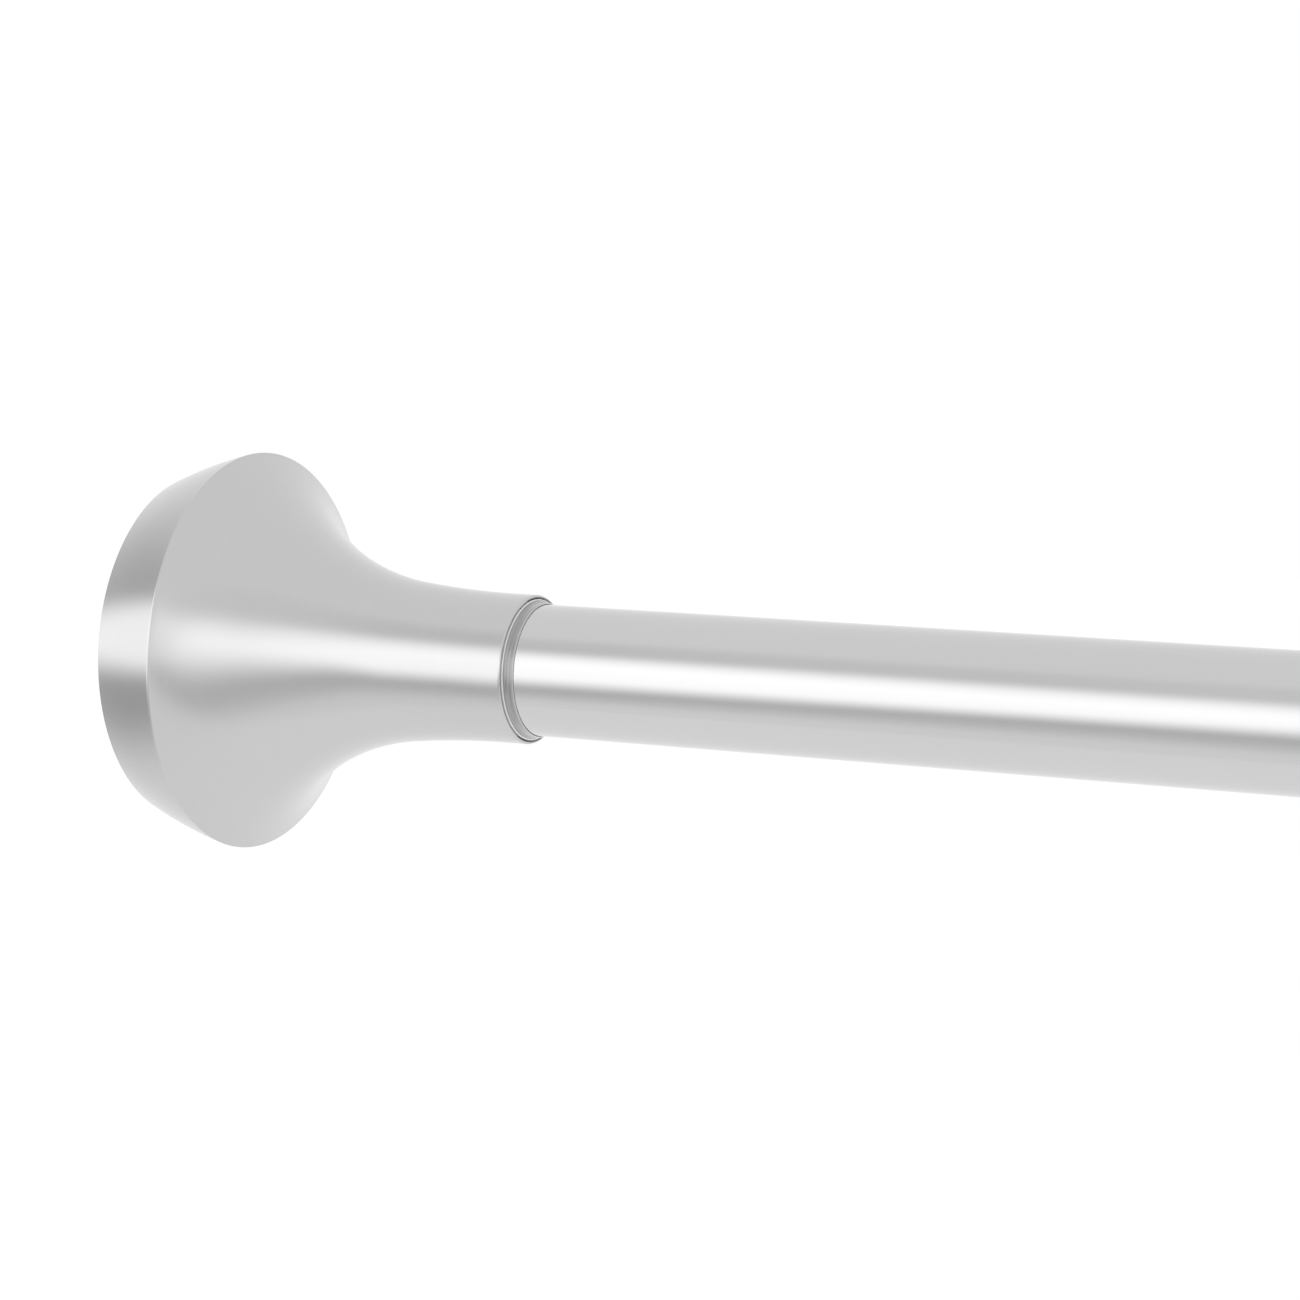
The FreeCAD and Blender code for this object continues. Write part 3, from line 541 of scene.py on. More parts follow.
@dataclass(frozen=True)
class PlatedSteel(Mottled):
    """Zinc plated or plain turned steel: lathe marks round the axis and cloudy plating.

    Args:
        name: name of the material.
        tone: linear reflectance, with a little blue in it for zinc.
        roughness: mean roughness.
        fineness: how fine the turning marks are, in swells in a metre.
        wander: how much they change round the rod.
        groove: height of the turning marks, in metres.
        share: share of the clouds in the tone, against the turning marks.
        rough_by: how far the clouds and the turning marks move the roughness.
    """

    name: str
    tone: Colour
    roughness: float
    fineness: float = 4200.0
    wander: float = 0.7
    groove: float = 8e-7
    share: float = 0.7
    rough_by: tuple[float, float] = (0.16, 0.08)

    def shade(self, tree: ShaderTree) -> bpy.types.Node:
        """Metal with turning marks that change with the place along the axis and the radius."""
        x, radius, across, _ = tree.round_place()
        turning = tree.vector(x * self.fineness, radius * self.fineness, across * self.wander)
        turned = tree.noise(turning, scale=1.0, detail=2.0, rough=0.55)
        clouds = tree.noise(tree.here(), scale=240.0, detail=3.0, rough=0.6)
        inputs = {
            "Base Color": tree.around(self.mixed(clouds, turned), self.tone, below=0.86, above=1.1),
            "Metallic": 1.0,
            "Roughness": self.roughened(clouds, turned),
            "Normal": tree.relief(turned * self.groove),
        }
        return tree.surface(inputs)


TUBE_STEEL = SatinSteel(
    "satin_tube_steel", tone=0.58, roughness=0.16, brushing=Brushing.ALONG, ripple=1.2e-6
)
COVER_STEEL = SatinSteel(
    "satin_cover_steel", tone=0.546, roughness=0.19, brushing=Brushing.AROUND, ripple=3.5e-6
)
BUSH_PLASTIC = SlideRing(
    "bush_plastic",
    colour=0.20,
    # pale is the colour of the tip's painted highlight
    pale=0.42,
    roughness=0.22,
    gloss=2.2,
    tip=249.8 * MM,
    tip_highlight_length=0.45 * MM,
    bead=13.40 * MM,
)
COLLAR_PLASTIC = Moulding("collar_plastic", (0.30, 0.30, 0.31), roughness=0.42, grain=2.4e-6)
GREY_PLASTIC = Moulding("grey_plastic", (0.24, 0.24, 0.25), roughness=0.46, grain=3.0e-6)
NYLON = Moulding("white_nylon", (0.74, 0.73, 0.68), roughness=0.38, grain=1.8e-6)
FOOT_RUBBER = Rubber(
    "foot_rubber", colour=(0.022, 0.022, 0.023), bloom=(0.085, 0.085, 0.088)
)
ZINC_STEEL = PlatedSteel("zinc_plated_steel", (0.58, 0.60, 0.62), roughness=0.30)
SPRING_STEEL = PlatedSteel("spring_steel", (0.40, 0.40, 0.42), roughness=0.34)


# Outlines of round pieces


@dataclass(frozen=True)
class Outline:
    """Section of a round piece in the half plane (along the rod, radius).

    Args:
        points: array of shape (n, 2), in metres.
        normals: array of shape (n, 2), the way the surface faces at each point.
    """

    points: np.ndarray
    normals: np.ndarray

    def mirrored(self, about: float) -> "Outline":
        """The same section turned end for end about a place on the rod."""
        flip = np.array([-1.0, 1.0])
        shift = np.array([2.0 * about, 0.0])
        return Outline((self.points * flip + shift)[::-1], (self.normals * flip)[::-1])

    def without_doubles(self) -> "Outline":
        """The closed outline without points that repeat the one before."""
        step = np.linalg.norm(self.points - np.roll(self.points, 1, axis=0), axis=1)
        keep = step > 1e-7
        return Outline(self.points[keep], self.normals[keep])


def joined(parts: Sequence[Outline]) -> Outline:
    """One outline from stretches in order."""
    return Outline(
        np.concatenate([part.points for part in parts]),
        np.concatenate([part.normals for part in parts]),
    )


def arc_stretch(
    centre: np.ndarray, start: np.ndarray, end: np.ndarray, steps: int, facing: float
) -> Outline:
    """Arc of a circle by the shorter way: centre plus radius times (cos, sin) of an even turn.

    Args:
        centre: the circle's centre.
        start: first point, which sets the radius.
        end: last point.
        steps: number of points.
        facing: 1 if the surface faces away from the centre, -1 if towards it.

    Returns:
        The stretch of outline.
    """
    first = math.atan2(start[1] - centre[1], start[0] - centre[0])
    last = math.atan2(end[1] - centre[1], end[0] - centre[0])
    turn = (last - first + math.pi) % (2.0 * math.pi) - math.pi
    angles = first + turn * np.linspace(0.0, 1.0, steps)
    away = np.stack([np.cos(angles), np.sin(angles)], axis=1)
    return Outline(centre + away * np.linalg.norm(start - centre), away * facing)


def straight_stretch(start: np.ndarray, end: np.ndarray, steps: int) -> Outline:
    """Even points on a line; the surface faces the right-hand side of the way from start to end."""
    share = np.linspace(0.0, 1.0, steps)[:, None]
    way = (end - start) / np.linalg.norm(end - start)
    normal = np.array([way[1], -way[0]])
    return Outline(start + (end - start) * share, np.tile(normal, (steps, 1)))


def rounded_corner(
    before: np.ndarray, corner: np.ndarray, after: np.ndarray, radius: float, steps: int = 6
) -> Outline:
    """Fillet of a corner, tangent to both of its edges.

    The normal turns evenly from that of the first edge to that of the second. On an outer corner
    each point is the centre plus the radius times the normal, and on an inner one minus it.

    Args:
        before: a point on the edge that arrives.
        corner: the corner.
        after: a point on the edge that leaves.
        radius: radius of the fillet.
        steps: number of points.

    Returns:
        The stretch of outline.
    """
    arriving = (corner - before) / np.linalg.norm(corner - before)
    leaving = (after - corner) / np.linalg.norm(after - corner)
    turn = math.atan2(
        arriving[0] * leaving[1] - arriving[1] * leaving[0], float(arriving @ leaving)
    )
    normal = np.array([arriving[1], -arriving[0]])
    start = corner - arriving * radius * math.tan(abs(turn) / 2.0)
    side = 1.0 if turn > 0.0 else -1.0
    centre = start - normal * radius * side
    angles = math.atan2(normal[1], normal[0]) + turn * np.linspace(0.0, 1.0, steps)
    normals = np.stack([np.cos(angles), np.sin(angles)], axis=1)
    return Outline(centre + normals * radius * side, normals)


def cornered_outline(
    corners: Sequence[tuple[float, float, float]], closed: bool, spacing: float = 8.0 * MM
) -> Outline:
    """Outline of straight edges and rounded corners, in the order that faces outwards.

    Args:
        corners: (along the rod, radius, fillet) of each corner, anticlockwise with x to the right.
        closed: True for a ring, False for a solid that starts and ends on the axis.
        spacing: longest gap between points on a straight edge.

    Returns:
        The outline.
    """
    places = [np.array(corner[:2]) for corner in corners]
    count = len(places)
    turns: list[Outline] = []
    for index, place in enumerate(places):
        before, after = places[index - 1], places[(index + 1) % count]
        if closed or 0 < index < count - 1:
            turns.append(rounded_corner(before, place, after, corners[index][2]))
        else:
            edge = (place, after) if index == 0 else (before, place)
            turns.append(Outline(place[None, :], straight_stretch(*edge, 2).normals[:1]))
    parts: list[Outline] = []
    for index, turn in enumerate(turns):
        parts.append(turn)
        following = (index + 1) % count
        last, first = turn.points[-1], turns[following].points[0]
        inner = int(float(np.linalg.norm(first - last)) / spacing)
        if inner and (closed or following):
            share = np.linspace(0.0, 1.0, inner + 2)[1:-1, None]
            edge_normals = straight_stretch(places[index], places[following], inner).normals
            parts.append(Outline(last + (first - last) * share, edge_normals))
    return joined(parts)


def wrapped_faces(rows: int, columns: int, closed: bool) -> list[list[int]]:
    """Faces over a grid of points whose columns close round.

    Args:
        rows: number of rows.
        columns: number of points in a row.
        closed: True if the rows close too, False if two poles follow the grid's points: one
            before the first row and one after the last.

    Returns:
        Rows of point numbers, which face away from row times column.
    """
    index = np.arange(rows * columns).reshape(rows, columns)
    beside = np.roll(index, -1, axis=1)
    last = rows if closed else rows - 1
    quads = [index, np.roll(index, -1, axis=0), np.roll(beside, -1, axis=0), beside]
    faces = np.stack([corner[:last] for corner in quads], axis=2).reshape(-1, 4).tolist()
    if not closed:
        pole = np.full(columns, index.size)
        faces += np.stack([pole, index[0], beside[0]], axis=1).tolist()
        faces += np.stack([index[-1], pole + 1, beside[-1]], axis=1).tolist()
    return faces


def turned_piece(name: str, outline: Outline, closed: bool, segments: int) -> bpy.types.Object:
    """Surface of revolution: (x, radius cos a, radius sin a) over the outline and the angle a.

    Args:
        name: name of the piece.
        outline: its section, facing outwards.
        closed: True if the outline is a loop, False if it starts and ends on the axis.
        segments: number of steps round the axis.

    Returns:
        The piece, smooth, with the outline's own normals.
    """
    angles = np.linspace(0.0, 2.0 * math.pi, segments, endpoint=False)
    round_way = np.stack([np.cos(angles), np.sin(angles)], axis=1)

    def carried(section: np.ndarray) -> np.ndarray:
        """Section rows carried round the axis, as rows of 3-D vectors."""
        along = np.broadcast_to(section[:, 0, None, None], (len(section), segments, 1))
        return np.concatenate([along, section[:, 1, None, None] * round_way], axis=2).reshape(-1, 3)

    rings = outline if closed else Outline(outline.points[1:-1], outline.normals[1:-1])
    points, normals = carried(rings.points), carried(rings.normals)
    if not closed:
        ends = outline.points[[0, -1], 0], np.copysign(1.0, outline.normals[[0, -1], 0])
        poles, ways = (np.stack([end, [0.0, 0.0], [0.0, 0.0]], axis=1) for end in ends)
        points, normals = np.concatenate([points, poles]), np.concatenate([normals, ways])
    return mesh_piece(name, points, wrapped_faces(len(rings.points), segments, closed), normals)


def mesh_piece(
    name: str,
    points: np.ndarray,
    faces: Sequence[Sequence[int]],
    normals: np.ndarray | None = None,
) -> bpy.types.Object:
    """Object at the origin from points and faces.

    Args:
        name: name of the piece.
        points: array of shape (n, 3), in metres.
        faces: rows of point numbers, anticlockwise seen from outside.
        normals: the surface's true normal at each point, if it is known.

    Returns:
        The object, smooth shaded.
    """
    mesh = bpy.data.meshes.new(name)
    mesh.from_pydata(points.tolist(), [], faces)
    mesh.polygons.foreach_set("use_smooth", np.ones(len(mesh.polygons), dtype=bool))
    mesh.update()
    if normals is not None:
        mesh.normals_split_custom_set_from_vertices(normals.tolist())
    made = bpy.data.objects.new(name, mesh)
    bpy.context.scene.collection.objects.link(made)
    return made


def settle(
    piece: bpy.types.Object, body: str, finish: Finish, stands_for: str
) -> bpy.types.Object:
    """Finish a new piece: its look, the body that it rides on and the node that it stands for.

    Args:
        piece: the new piece.
        body: body that it moves with.
        finish: its finish.
        stands_for: node that it replaces.

    Returns:
        The piece.
    """
    finish.dress(piece)
    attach(piece, body)
    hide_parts(stands_for)
    LOG.info("%s: %d faces, rides on %s", piece.name, len(piece.data.polygons), body)
    return piece


# The rod's pieces


class Facing(Enum):
    """Which wall a piece's wall side faces."""

    LEFT_WALL = 1
    RIGHT_WALL = -1

    def placed(self, outline: Outline) -> Outline:
        """A section that is drawn as at the left wall, at this wall."""
        return outline if self is Facing.LEFT_WALL else outline.mirrored(ROD_LENGTH / 2.0)


@dataclass(frozen=True)
class Making:
    """How a kind of round piece is made.

    Args:
        suffix: end of the piece's name, after that of its node.
        slot: material slot of the record; not used.
        finish: its finish.
        segments: number of steps round the rod.
        closed: True if its section is a loop, False if it starts and ends on the axis.
    """

    suffix: str
    slot: str
    finish: Finish
    segments: int
    closed: bool = True


@dataclass
class RoundPart:
    """Round piece of the rod, whose section is drawn as at the left wall.

    Args:
        node: node that it stands for.
        body: body that it rides on.
        facing: wall from which its places are counted.
    """

    making: ClassVar[Making]
    node: str
    body: str
    facing: Facing

    def outline(self) -> Outline:
        """The piece's section, facing outwards."""
        raise NotImplementedError

    def build(self) -> bpy.types.Object:
        """Turn the section round the rod and dress the piece."""
        making = self.making
        outline = self.facing.placed(self.outline())
        name = f"{self.node}_{making.suffix}"
        piece = turned_piece(name, outline, making.closed, making.segments)
        return settle(piece, self.body, making.finish, self.node)


@dataclass
class EndCover(RoundPart):
    """Trumpet-shaped end cover spun from thin sheet.

    Args:
        wall_gap: gap between the wall and its edge.
        length: from the wall edge to the neck's mouth.
        skirt: length of the skirt.
        edge_radius: radius of the wall edge.
        rim_radius: radius of the rim.
        bow: radius of the skirt's slight bow.
        neck_radius: outside of the neck.
        neck_straight: cylindrical stretch at the mouth.
        slender: section radius of the slender part of the neck.
        flare: angle of that part.
        sheet: thickness of the sheet.
        rim_round: rounding of the rim.
        edge_round: rounding of the sheet's wall edge.
        mouth_round: rounding of the mouth's outer corner.
        mouth_burr: rounding of its inner corner.
    """

    making: ClassVar[Making] = Making("shell", "satin_steel", COVER_STEEL, segments=288)
    wall_gap: float = 0.6 * MM
    length: float = 77.5 * MM
    skirt: float = 15.1 * MM
    edge_radius: float = 34.55 * MM
    rim_radius: float = 39.85 * MM
    bow: float = 93.0 * MM
    neck_radius: float = 14.46 * MM
    neck_straight: float = 4.0 * MM
    slender: float = 184.0 * MM
    flare: float = math.radians(6.6)
    sheet: float = 0.65 * MM
    rim_round: float = 0.3 * MM
    edge_round: float = 0.2 * MM
    mouth_round: float = 0.45 * MM
    mouth_burr: float = 0.04 * MM

    @staticmethod
    def meeting(
        first: np.ndarray, reach: float, second: np.ndarray, other_reach: float, near: np.ndarray
    ) -> np.ndarray:
        """Where two circles meet, nearest to a given point.

        The foot of the chord lies (d d + a a - b b) / 2 d along the line of centres, and the
        meeting points stand off it by the square root of what is left of a squared.
        """
        between = second - first
        distance = float(np.linalg.norm(between))
        way = between / distance
        foot = (distance**2 + reach**2 - other_reach**2) / (2.0 * distance)
        off = math.sqrt(max(reach**2 - foot**2, 0.0))
        across = np.array([-way[1], way[0]])
        options = [first + way * foot + across * off * sign for sign in (1.0, -1.0)]
        return min(options, key=lambda point: float(np.linalg.norm(point - near)))

    def outline(self) -> Outline:
        """Section of the sheet: from the mouth back along the outside, and forward inside.

        The outside is the neck's line, the slender arc, the horn's arc, the rounded rim and the
        skirt's bow; the inside is the same curves moved in by the sheet's thickness.
        """
        start = self.wall_gap
        edge = np.array([start, self.edge_radius])
        rim = np.array([start + self.skirt, self.rim_radius])
        mouth = start + self.length
        neck_end = np.array([mouth - self.neck_straight, self.neck_radius])
        slender_centre = neck_end + np.array([0.0, self.slender])
        outward = np.array([math.sin(self.flare), math.cos(self.flare)])
        flare_start = slender_centre - outward * self.slender
        chord = rim - flare_start
        horn = float(chord @ chord / (2.0 * chord @ outward))
        horn_centre = flare_start + outward * horn
        half = (rim - edge) / 2.0
        across = np.array([half[1], -half[0]]) / np.linalg.norm(half)
        bow_centre = edge + half + across * math.sqrt(self.bow**2 - float(half @ half))

        rim_centre = self.meeting(
            bow_centre, self.bow - self.rim_round, horn_centre, horn + self.rim_round, rim
        )
        on_bow = bow_centre + (rim_centre - bow_centre) * self.bow / (self.bow - self.rim_round)
        on_horn = horn_centre + (rim_centre - horn_centre) * horn / (horn + self.rim_round)
        inner_rim = self.meeting(
            bow_centre, self.bow - self.sheet, horn_centre, horn + self.sheet, rim
        )

        def moved(centre: np.ndarray, point: np.ndarray, by: float) -> np.ndarray:
            """A point moved away from a centre."""
            away = (point - centre) / np.linalg.norm(point - centre)
            return point + away * by

        inner_flare = moved(horn_centre, flare_start, self.sheet)
        inner_neck = neck_end - np.array([0.0, self.sheet])
        edge_way = (edge - bow_centre) / np.linalg.norm(edge - bow_centre)
        inner_edge = edge - edge_way * self.sheet
        turn = np.array([-edge_way[1], edge_way[0]])
        inner_edge = inner_edge + turn * (start - inner_edge[0]) / turn[0]

        outer_mouth = np.array([mouth, self.neck_radius])
        inner_mouth = np.array([mouth, self.neck_radius - self.sheet])
        mouth_out = rounded_corner(inner_mouth, outer_mouth, neck_end, self.mouth_round, steps=9)
        mouth_in = rounded_corner(inner_neck, inner_mouth, outer_mouth, self.mouth_burr, steps=4)
        edge_out = rounded_corner(on_bow, edge, inner_edge, self.edge_round, steps=7)
        edge_in = rounded_corner(edge, inner_edge, inner_rim, self.edge_round, steps=7)
        return joined(
            [
                mouth_out,
                straight_stretch(mouth_out.points[-1], neck_end, steps=6),
                arc_stretch(slender_centre, neck_end, flare_start, steps=24, facing=-1.0),
                arc_stretch(horn_centre, flare_start, on_horn, steps=90, facing=-1.0),
                arc_stretch(rim_centre, on_horn, on_bow, steps=9, facing=1.0),
                arc_stretch(bow_centre, on_bow, edge_out.points[0], steps=24, facing=1.0),
                edge_out,
                edge_in,
                arc_stretch(bow_centre, edge_in.points[-1], inner_rim, steps=24, facing=-1.0),
                arc_stretch(horn_centre, inner_rim, inner_flare, steps=60, facing=1.0),
                arc_stretch(slender_centre, inner_flare, inner_neck, steps=16, facing=1.0),
                straight_stretch(inner_neck, mouth_in.points[0], steps=4),
                mouth_in,
            ]
        ).without_doubles()


@dataclass
class NeckBush(RoundPart):
    """Ring in a cover's neck on which the cover slides, with a stepped nose outside the mouth.

    Args:
        bore: radius of its bore.
        mouth: place of the neck's mouth.
        back: radius inside the neck.
        gap: radial gap between bush and neck at the mouth.
        bead: length of the bead outside the mouth.
        length: length inside the neck.
        groove: depth of the gap at the mouth.
        nose: length outside the mouth.
        lip: radial thickness at the nose's tip.
        shelf: length of the nose's thick stretch, from the mouth.
        step: how far that stretch stands above the tip.
        bevel: length of the bevel that leads down to the tip.
    """

    making: ClassVar[Making] = Making("ring", "bush_plastic", BUSH_PLASTIC, segments=224)
    bore: float
    mouth: float = 78.1 * MM
    back: float = 13.81 * MM
    gap: float = 0.15 * MM
    bead: float = 0.18 * MM
    length: float = 12.0 * MM
    groove: float = 3.0 * MM
    nose: float = 2.1 * MM
    lip: float = 0.1 * MM
    shelf: float = 0.9 * MM
    step: float = 0.32 * MM
    bevel: float = 0.3 * MM

    def outline(self) -> Outline:
        """Section: the bore, the nose's tip, its step and bevel, the gap's floor and the back."""
        tip = self.bore + self.lip
        front = self.back - self.gap
        step = tip + self.step
        inside, outside = self.mouth - self.length, self.mouth + self.nose
        bead, shelf = self.mouth + self.bead, self.mouth + self.shelf
        floor = self.mouth - self.groove
        return cornered_outline(
            [
                (inside, self.bore, 0.15 * MM),
                (outside, self.bore, 0.03 * MM),
                (outside, tip, 0.04 * MM),
                (outside - self.bevel, step - 0.1 * MM, 0.2 * MM),
                (shelf + 0.1 * MM, step - 0.05 * MM, 0.1 * MM),
                (shelf, step, 0.06 * MM),
                (bead + 0.12 * MM, step + 0.1 * MM, 0.06 * MM),
                (bead, front, 0.08 * MM),
                (floor, front, 0.05 * MM),
                (floor, self.back, 0.05 * MM),
                (inside, self.back, 0.3 * MM),
            ],
            closed=True,
        )


@dataclass
class RodTube(RoundPart):
    """Plain round tube with its cut ends deburred.

    Args:
        start: place of its left end.
        end: place of its right end.
        radius: outside radius.
        bore: radius of its bore.
        burr: rounding of its cut edges.
    """

    making: ClassVar[Making] = Making("wall", "satin_steel", TUBE_STEEL, segments=256)
    start: float
    end: float
    radius: float
    bore: float
    burr: float = 0.12 * MM

    def outline(self) -> Outline:
        """Section: a long thin rectangle with rounded corners."""
        return cornered_outline(
            [
                (self.start, self.bore, self.burr),
                (self.end, self.bore, self.burr),
                (self.end, self.radius, self.burr),
                (self.start, self.radius, self.burr),
            ],
            closed=True,
        )


@dataclass
class TubeCollar(RoundPart):
    """Moulded guide ring in the outer tube's open end, with a lip that covers the cut edge.

    Args:
        end: place of the outer tube's end.
        depth: length inside the tube.
        lip: length beyond the tube.
        bore: radius of its bore.
        tube_bore: radius inside the tube.
        lip_radius: radius of the lip.
    """

    making: ClassVar[Making] = Making("ring", "collar_plastic", COLLAR_PLASTIC, segments=224)
    end: float = 481.3 * MM
    depth: float = 15.0 * MM
    lip: float = 3.5 * MM
    bore: float = 11.15 * MM
    tube_bore: float = 11.9 * MM
    lip_radius: float = 13.2 * MM

    def outline(self) -> Outline:
        """Section: the bore, the lip round the tube's end and the sleeve inside it."""
        inside, outside = self.end - self.depth, self.end + self.lip
        return cornered_outline(
            [
                (inside, self.bore, 0.15 * MM),
                (outside, self.bore, 0.25 * MM),
                (outside, self.lip_radius, 0.6 * MM),
                (self.end, self.lip_radius, 0.12 * MM),
                (self.end, self.tube_bore, 0.04 * MM),
                (inside, self.tube_bore, 0.25 * MM),
            ],
            closed=True,
        )


@dataclass
class FootPad(RoundPart):
    """Rubber disc with ring grooves in its face and a lip that hooks behind the foot plate.

    Args:
        radius: outside radius.
        plate_radius: radius of the plate inside the lip.
        thickness: rubber in front of the plate.
        plate: thickness of the plate.
        hook: length of the hook, and how far it reaches in.
        groove_width: width of each ring groove.
        groove_depth: depth of each ring groove.
        grooves: inner radius of each groove, as a share of the plate's.
    """

    making: ClassVar[Making] = Making(
        "rubber", "foot_rubber", FOOT_RUBBER, segments=160, closed=False
    )
    radius: float = 27.0 * MM
    plate_radius: float = 25.5 * MM
    thickness: float = 3.5 * MM
    plate: float = 3.2 * MM
    hook: float = 1.0 * MM
    groove_width: float = 1.2 * MM
    groove_depth: float = 0.8 * MM
    grooves: tuple[float, ...] = (0.8, 0.6, 0.4)

    def outline(self) -> Outline:
        """Section: the back face, the lip, then the grooved face."""
        back = self.thickness + self.plate
        corners = [
            (self.thickness, 0.0, 0.0),
            (self.thickness, self.plate_radius, 0.06 * MM),
            (back, self.plate_radius, 0.06 * MM),
            (back, self.plate_radius - self.hook, 0.2 * MM),
            (back + self.hook, self.plate_radius - self.hook, 0.3 * MM),
            (back + self.hook, self.radius, 0.35 * MM),
            (0.0, self.radius, 0.75 * MM),
        ]
        for share in self.grooves:
            inside = self.plate_radius * share
            outside = inside + self.groove_width
            corners += [
                (0.0, outside, 0.15 * MM),
                (self.groove_depth, outside, 0.2 * MM),
                (self.groove_depth, inside, 0.2 * MM),
                (0.0, inside, 0.15 * MM),
            ]
        corners.append((0.0, 0.0, 0.0))
        return cornered_outline(corners, closed=False)


@dataclass
class FootPlunger(RoundPart):
    """Turned steel rod between the foot spring and the right foot.

    Args:
        start: place of its right end.
        radius: radius of the rod.
        collar_start: place of the collar.
        spring_start: place where the spring bears.
        collar_radius: radius of the collar.
        peg_radius: radius of the peg in the spring.
        peg: length of the peg.
        hole_radius: radius of the screw's hole.
        hole: depth of that hole.
    """

    making: ClassVar[Making] = Making("rod", "zinc_steel", ZINC_STEEL, segments=128, closed=False)
    start: float = 10.75 * MM
    radius: float = 6.0 * MM
    collar_start: float = 44.7 * MM
    spring_start: float = 48.7 * MM
    collar_radius: float = 10.0 * MM
    peg_radius: float = 8.1 * MM
    peg: float = 10.0 * MM
    hole_radius: float = 2.5 * MM
    hole: float = 14.3 * MM

    def outline(self) -> Outline:
        """Section: the rounded peg, the collar, the rod and its blind hole."""
        peg_end = self.spring_start + self.peg
        hole_end = self.start + self.hole
        return cornered_outline(
            [
                (peg_end, 0.0, 0.0),
                (peg_end, self.peg_radius, 0.8 * MM),
                (self.spring_start, self.peg_radius, 0.1 * MM),
                (self.spring_start, self.collar_radius, 0.3 * MM),
                (self.collar_start, self.collar_radius, 0.3 * MM),
                (self.collar_start, self.radius, 0.1 * MM),
                (self.start, self.radius, 0.3 * MM),
                (self.start, self.hole_radius, 0.15 * MM),
                (hole_end, self.hole_radius, 0.15 * MM),
                (hole_end, 0.0, 0.0),
            ],
            closed=False,
        )


@dataclass
class FootSpring:
    """Compression spring between its seat in the inner tube and the plunger's collar.

    Args:
        start: place of its right end, from the right wall.
        length: its length at rest.
        coil_radius: radius of the wire's middle.
        wire: diameter of the wire.
        pitch: rise of one turn.
        stroke: how far it can be pressed; not used.
        turn_steps: points along the wire in one turn.
        sides: points round the wire.
        cap_steps: points over each end's dome.
    """

    start: float = 48.7 * MM
    length: float = 45.0 * MM
    coil_radius: float = 9.2 * MM
    wire: float = 1.6 * MM
    pitch: float = 5.0 * MM
    stroke: float = 12.0 * MM
    turn_steps: int = 40
    sides: int = 24
    cap_steps: int = 5

    def path(self) -> tuple[np.ndarray, np.ndarray]:
        """Shares of the way along the wire, and the wire's width there as a share of its own."""
        turns = (self.length - self.wire) / self.pitch
        body = np.linspace(0.0, 1.0, int(turns * self.turn_steps) + 1)
        dome = self.wire / (4.0 * math.pi * turns * self.coil_radius)
        cap = np.arange(1, self.cap_steps) / self.cap_steps * math.pi / 2.0
        share = [[-dome], -dome * np.cos(cap), body, 1.0 + dome * np.sin(cap), [1.0 + dome]]
        width = [[0.0], np.sin(cap), np.ones_like(body), np.cos(cap), [0.0]]
        return np.concatenate(share), np.concatenate(width)

    def build(self) -> bpy.types.Object:
        """Carry a circle along a helix, with domed ends.

        The helix is (x, R cos t, R sin t) with x falling by the pitch in each turn. Round it the
        wire is w (cos b times the way out - sin b times the way across), and w goes to zero at
        both ends as the square root of 1 minus the square of the share of a wire's radius left.
        """
        half = self.wire / 2.0
        rise = self.length - self.wire
        whole_turn = 2.0 * math.pi * rise / self.pitch
        share, width = self.path()
        angle = whole_turn * share + math.pi
        out = np.stack([np.zeros_like(angle), np.cos(angle), np.sin(angle)], axis=1)
        centre = out * self.coil_radius
        centre[:, 0] = ROD_LENGTH - self.start - half - rise * share
        slope = rise / (whole_turn * self.coil_radius)
        across = np.stack(
            [np.ones_like(angle), -np.sin(angle) * slope, np.cos(angle) * slope], axis=1
        ) / math.sqrt(1.0 + slope**2)
        beta = np.linspace(0.0, 2.0 * math.pi, self.sides, endpoint=False)[None, :, None]
        ring = out[:, None, :] * np.cos(beta) - across[:, None, :] * np.sin(beta)
        grid = (centre[:, None, :] + ring * (half * width)[:, None, None])[1:-1]
        points = np.concatenate([grid.reshape(-1, 3), centre[[0, -1]]])
        faces = wrapped_faces(len(grid), self.sides, closed=False)
        piece = mesh_piece("foot_spring_coil", points, faces)
        settle(piece, "inner_tube", SPRING_STEEL, "foot_spring")
        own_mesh(piece)
        return piece


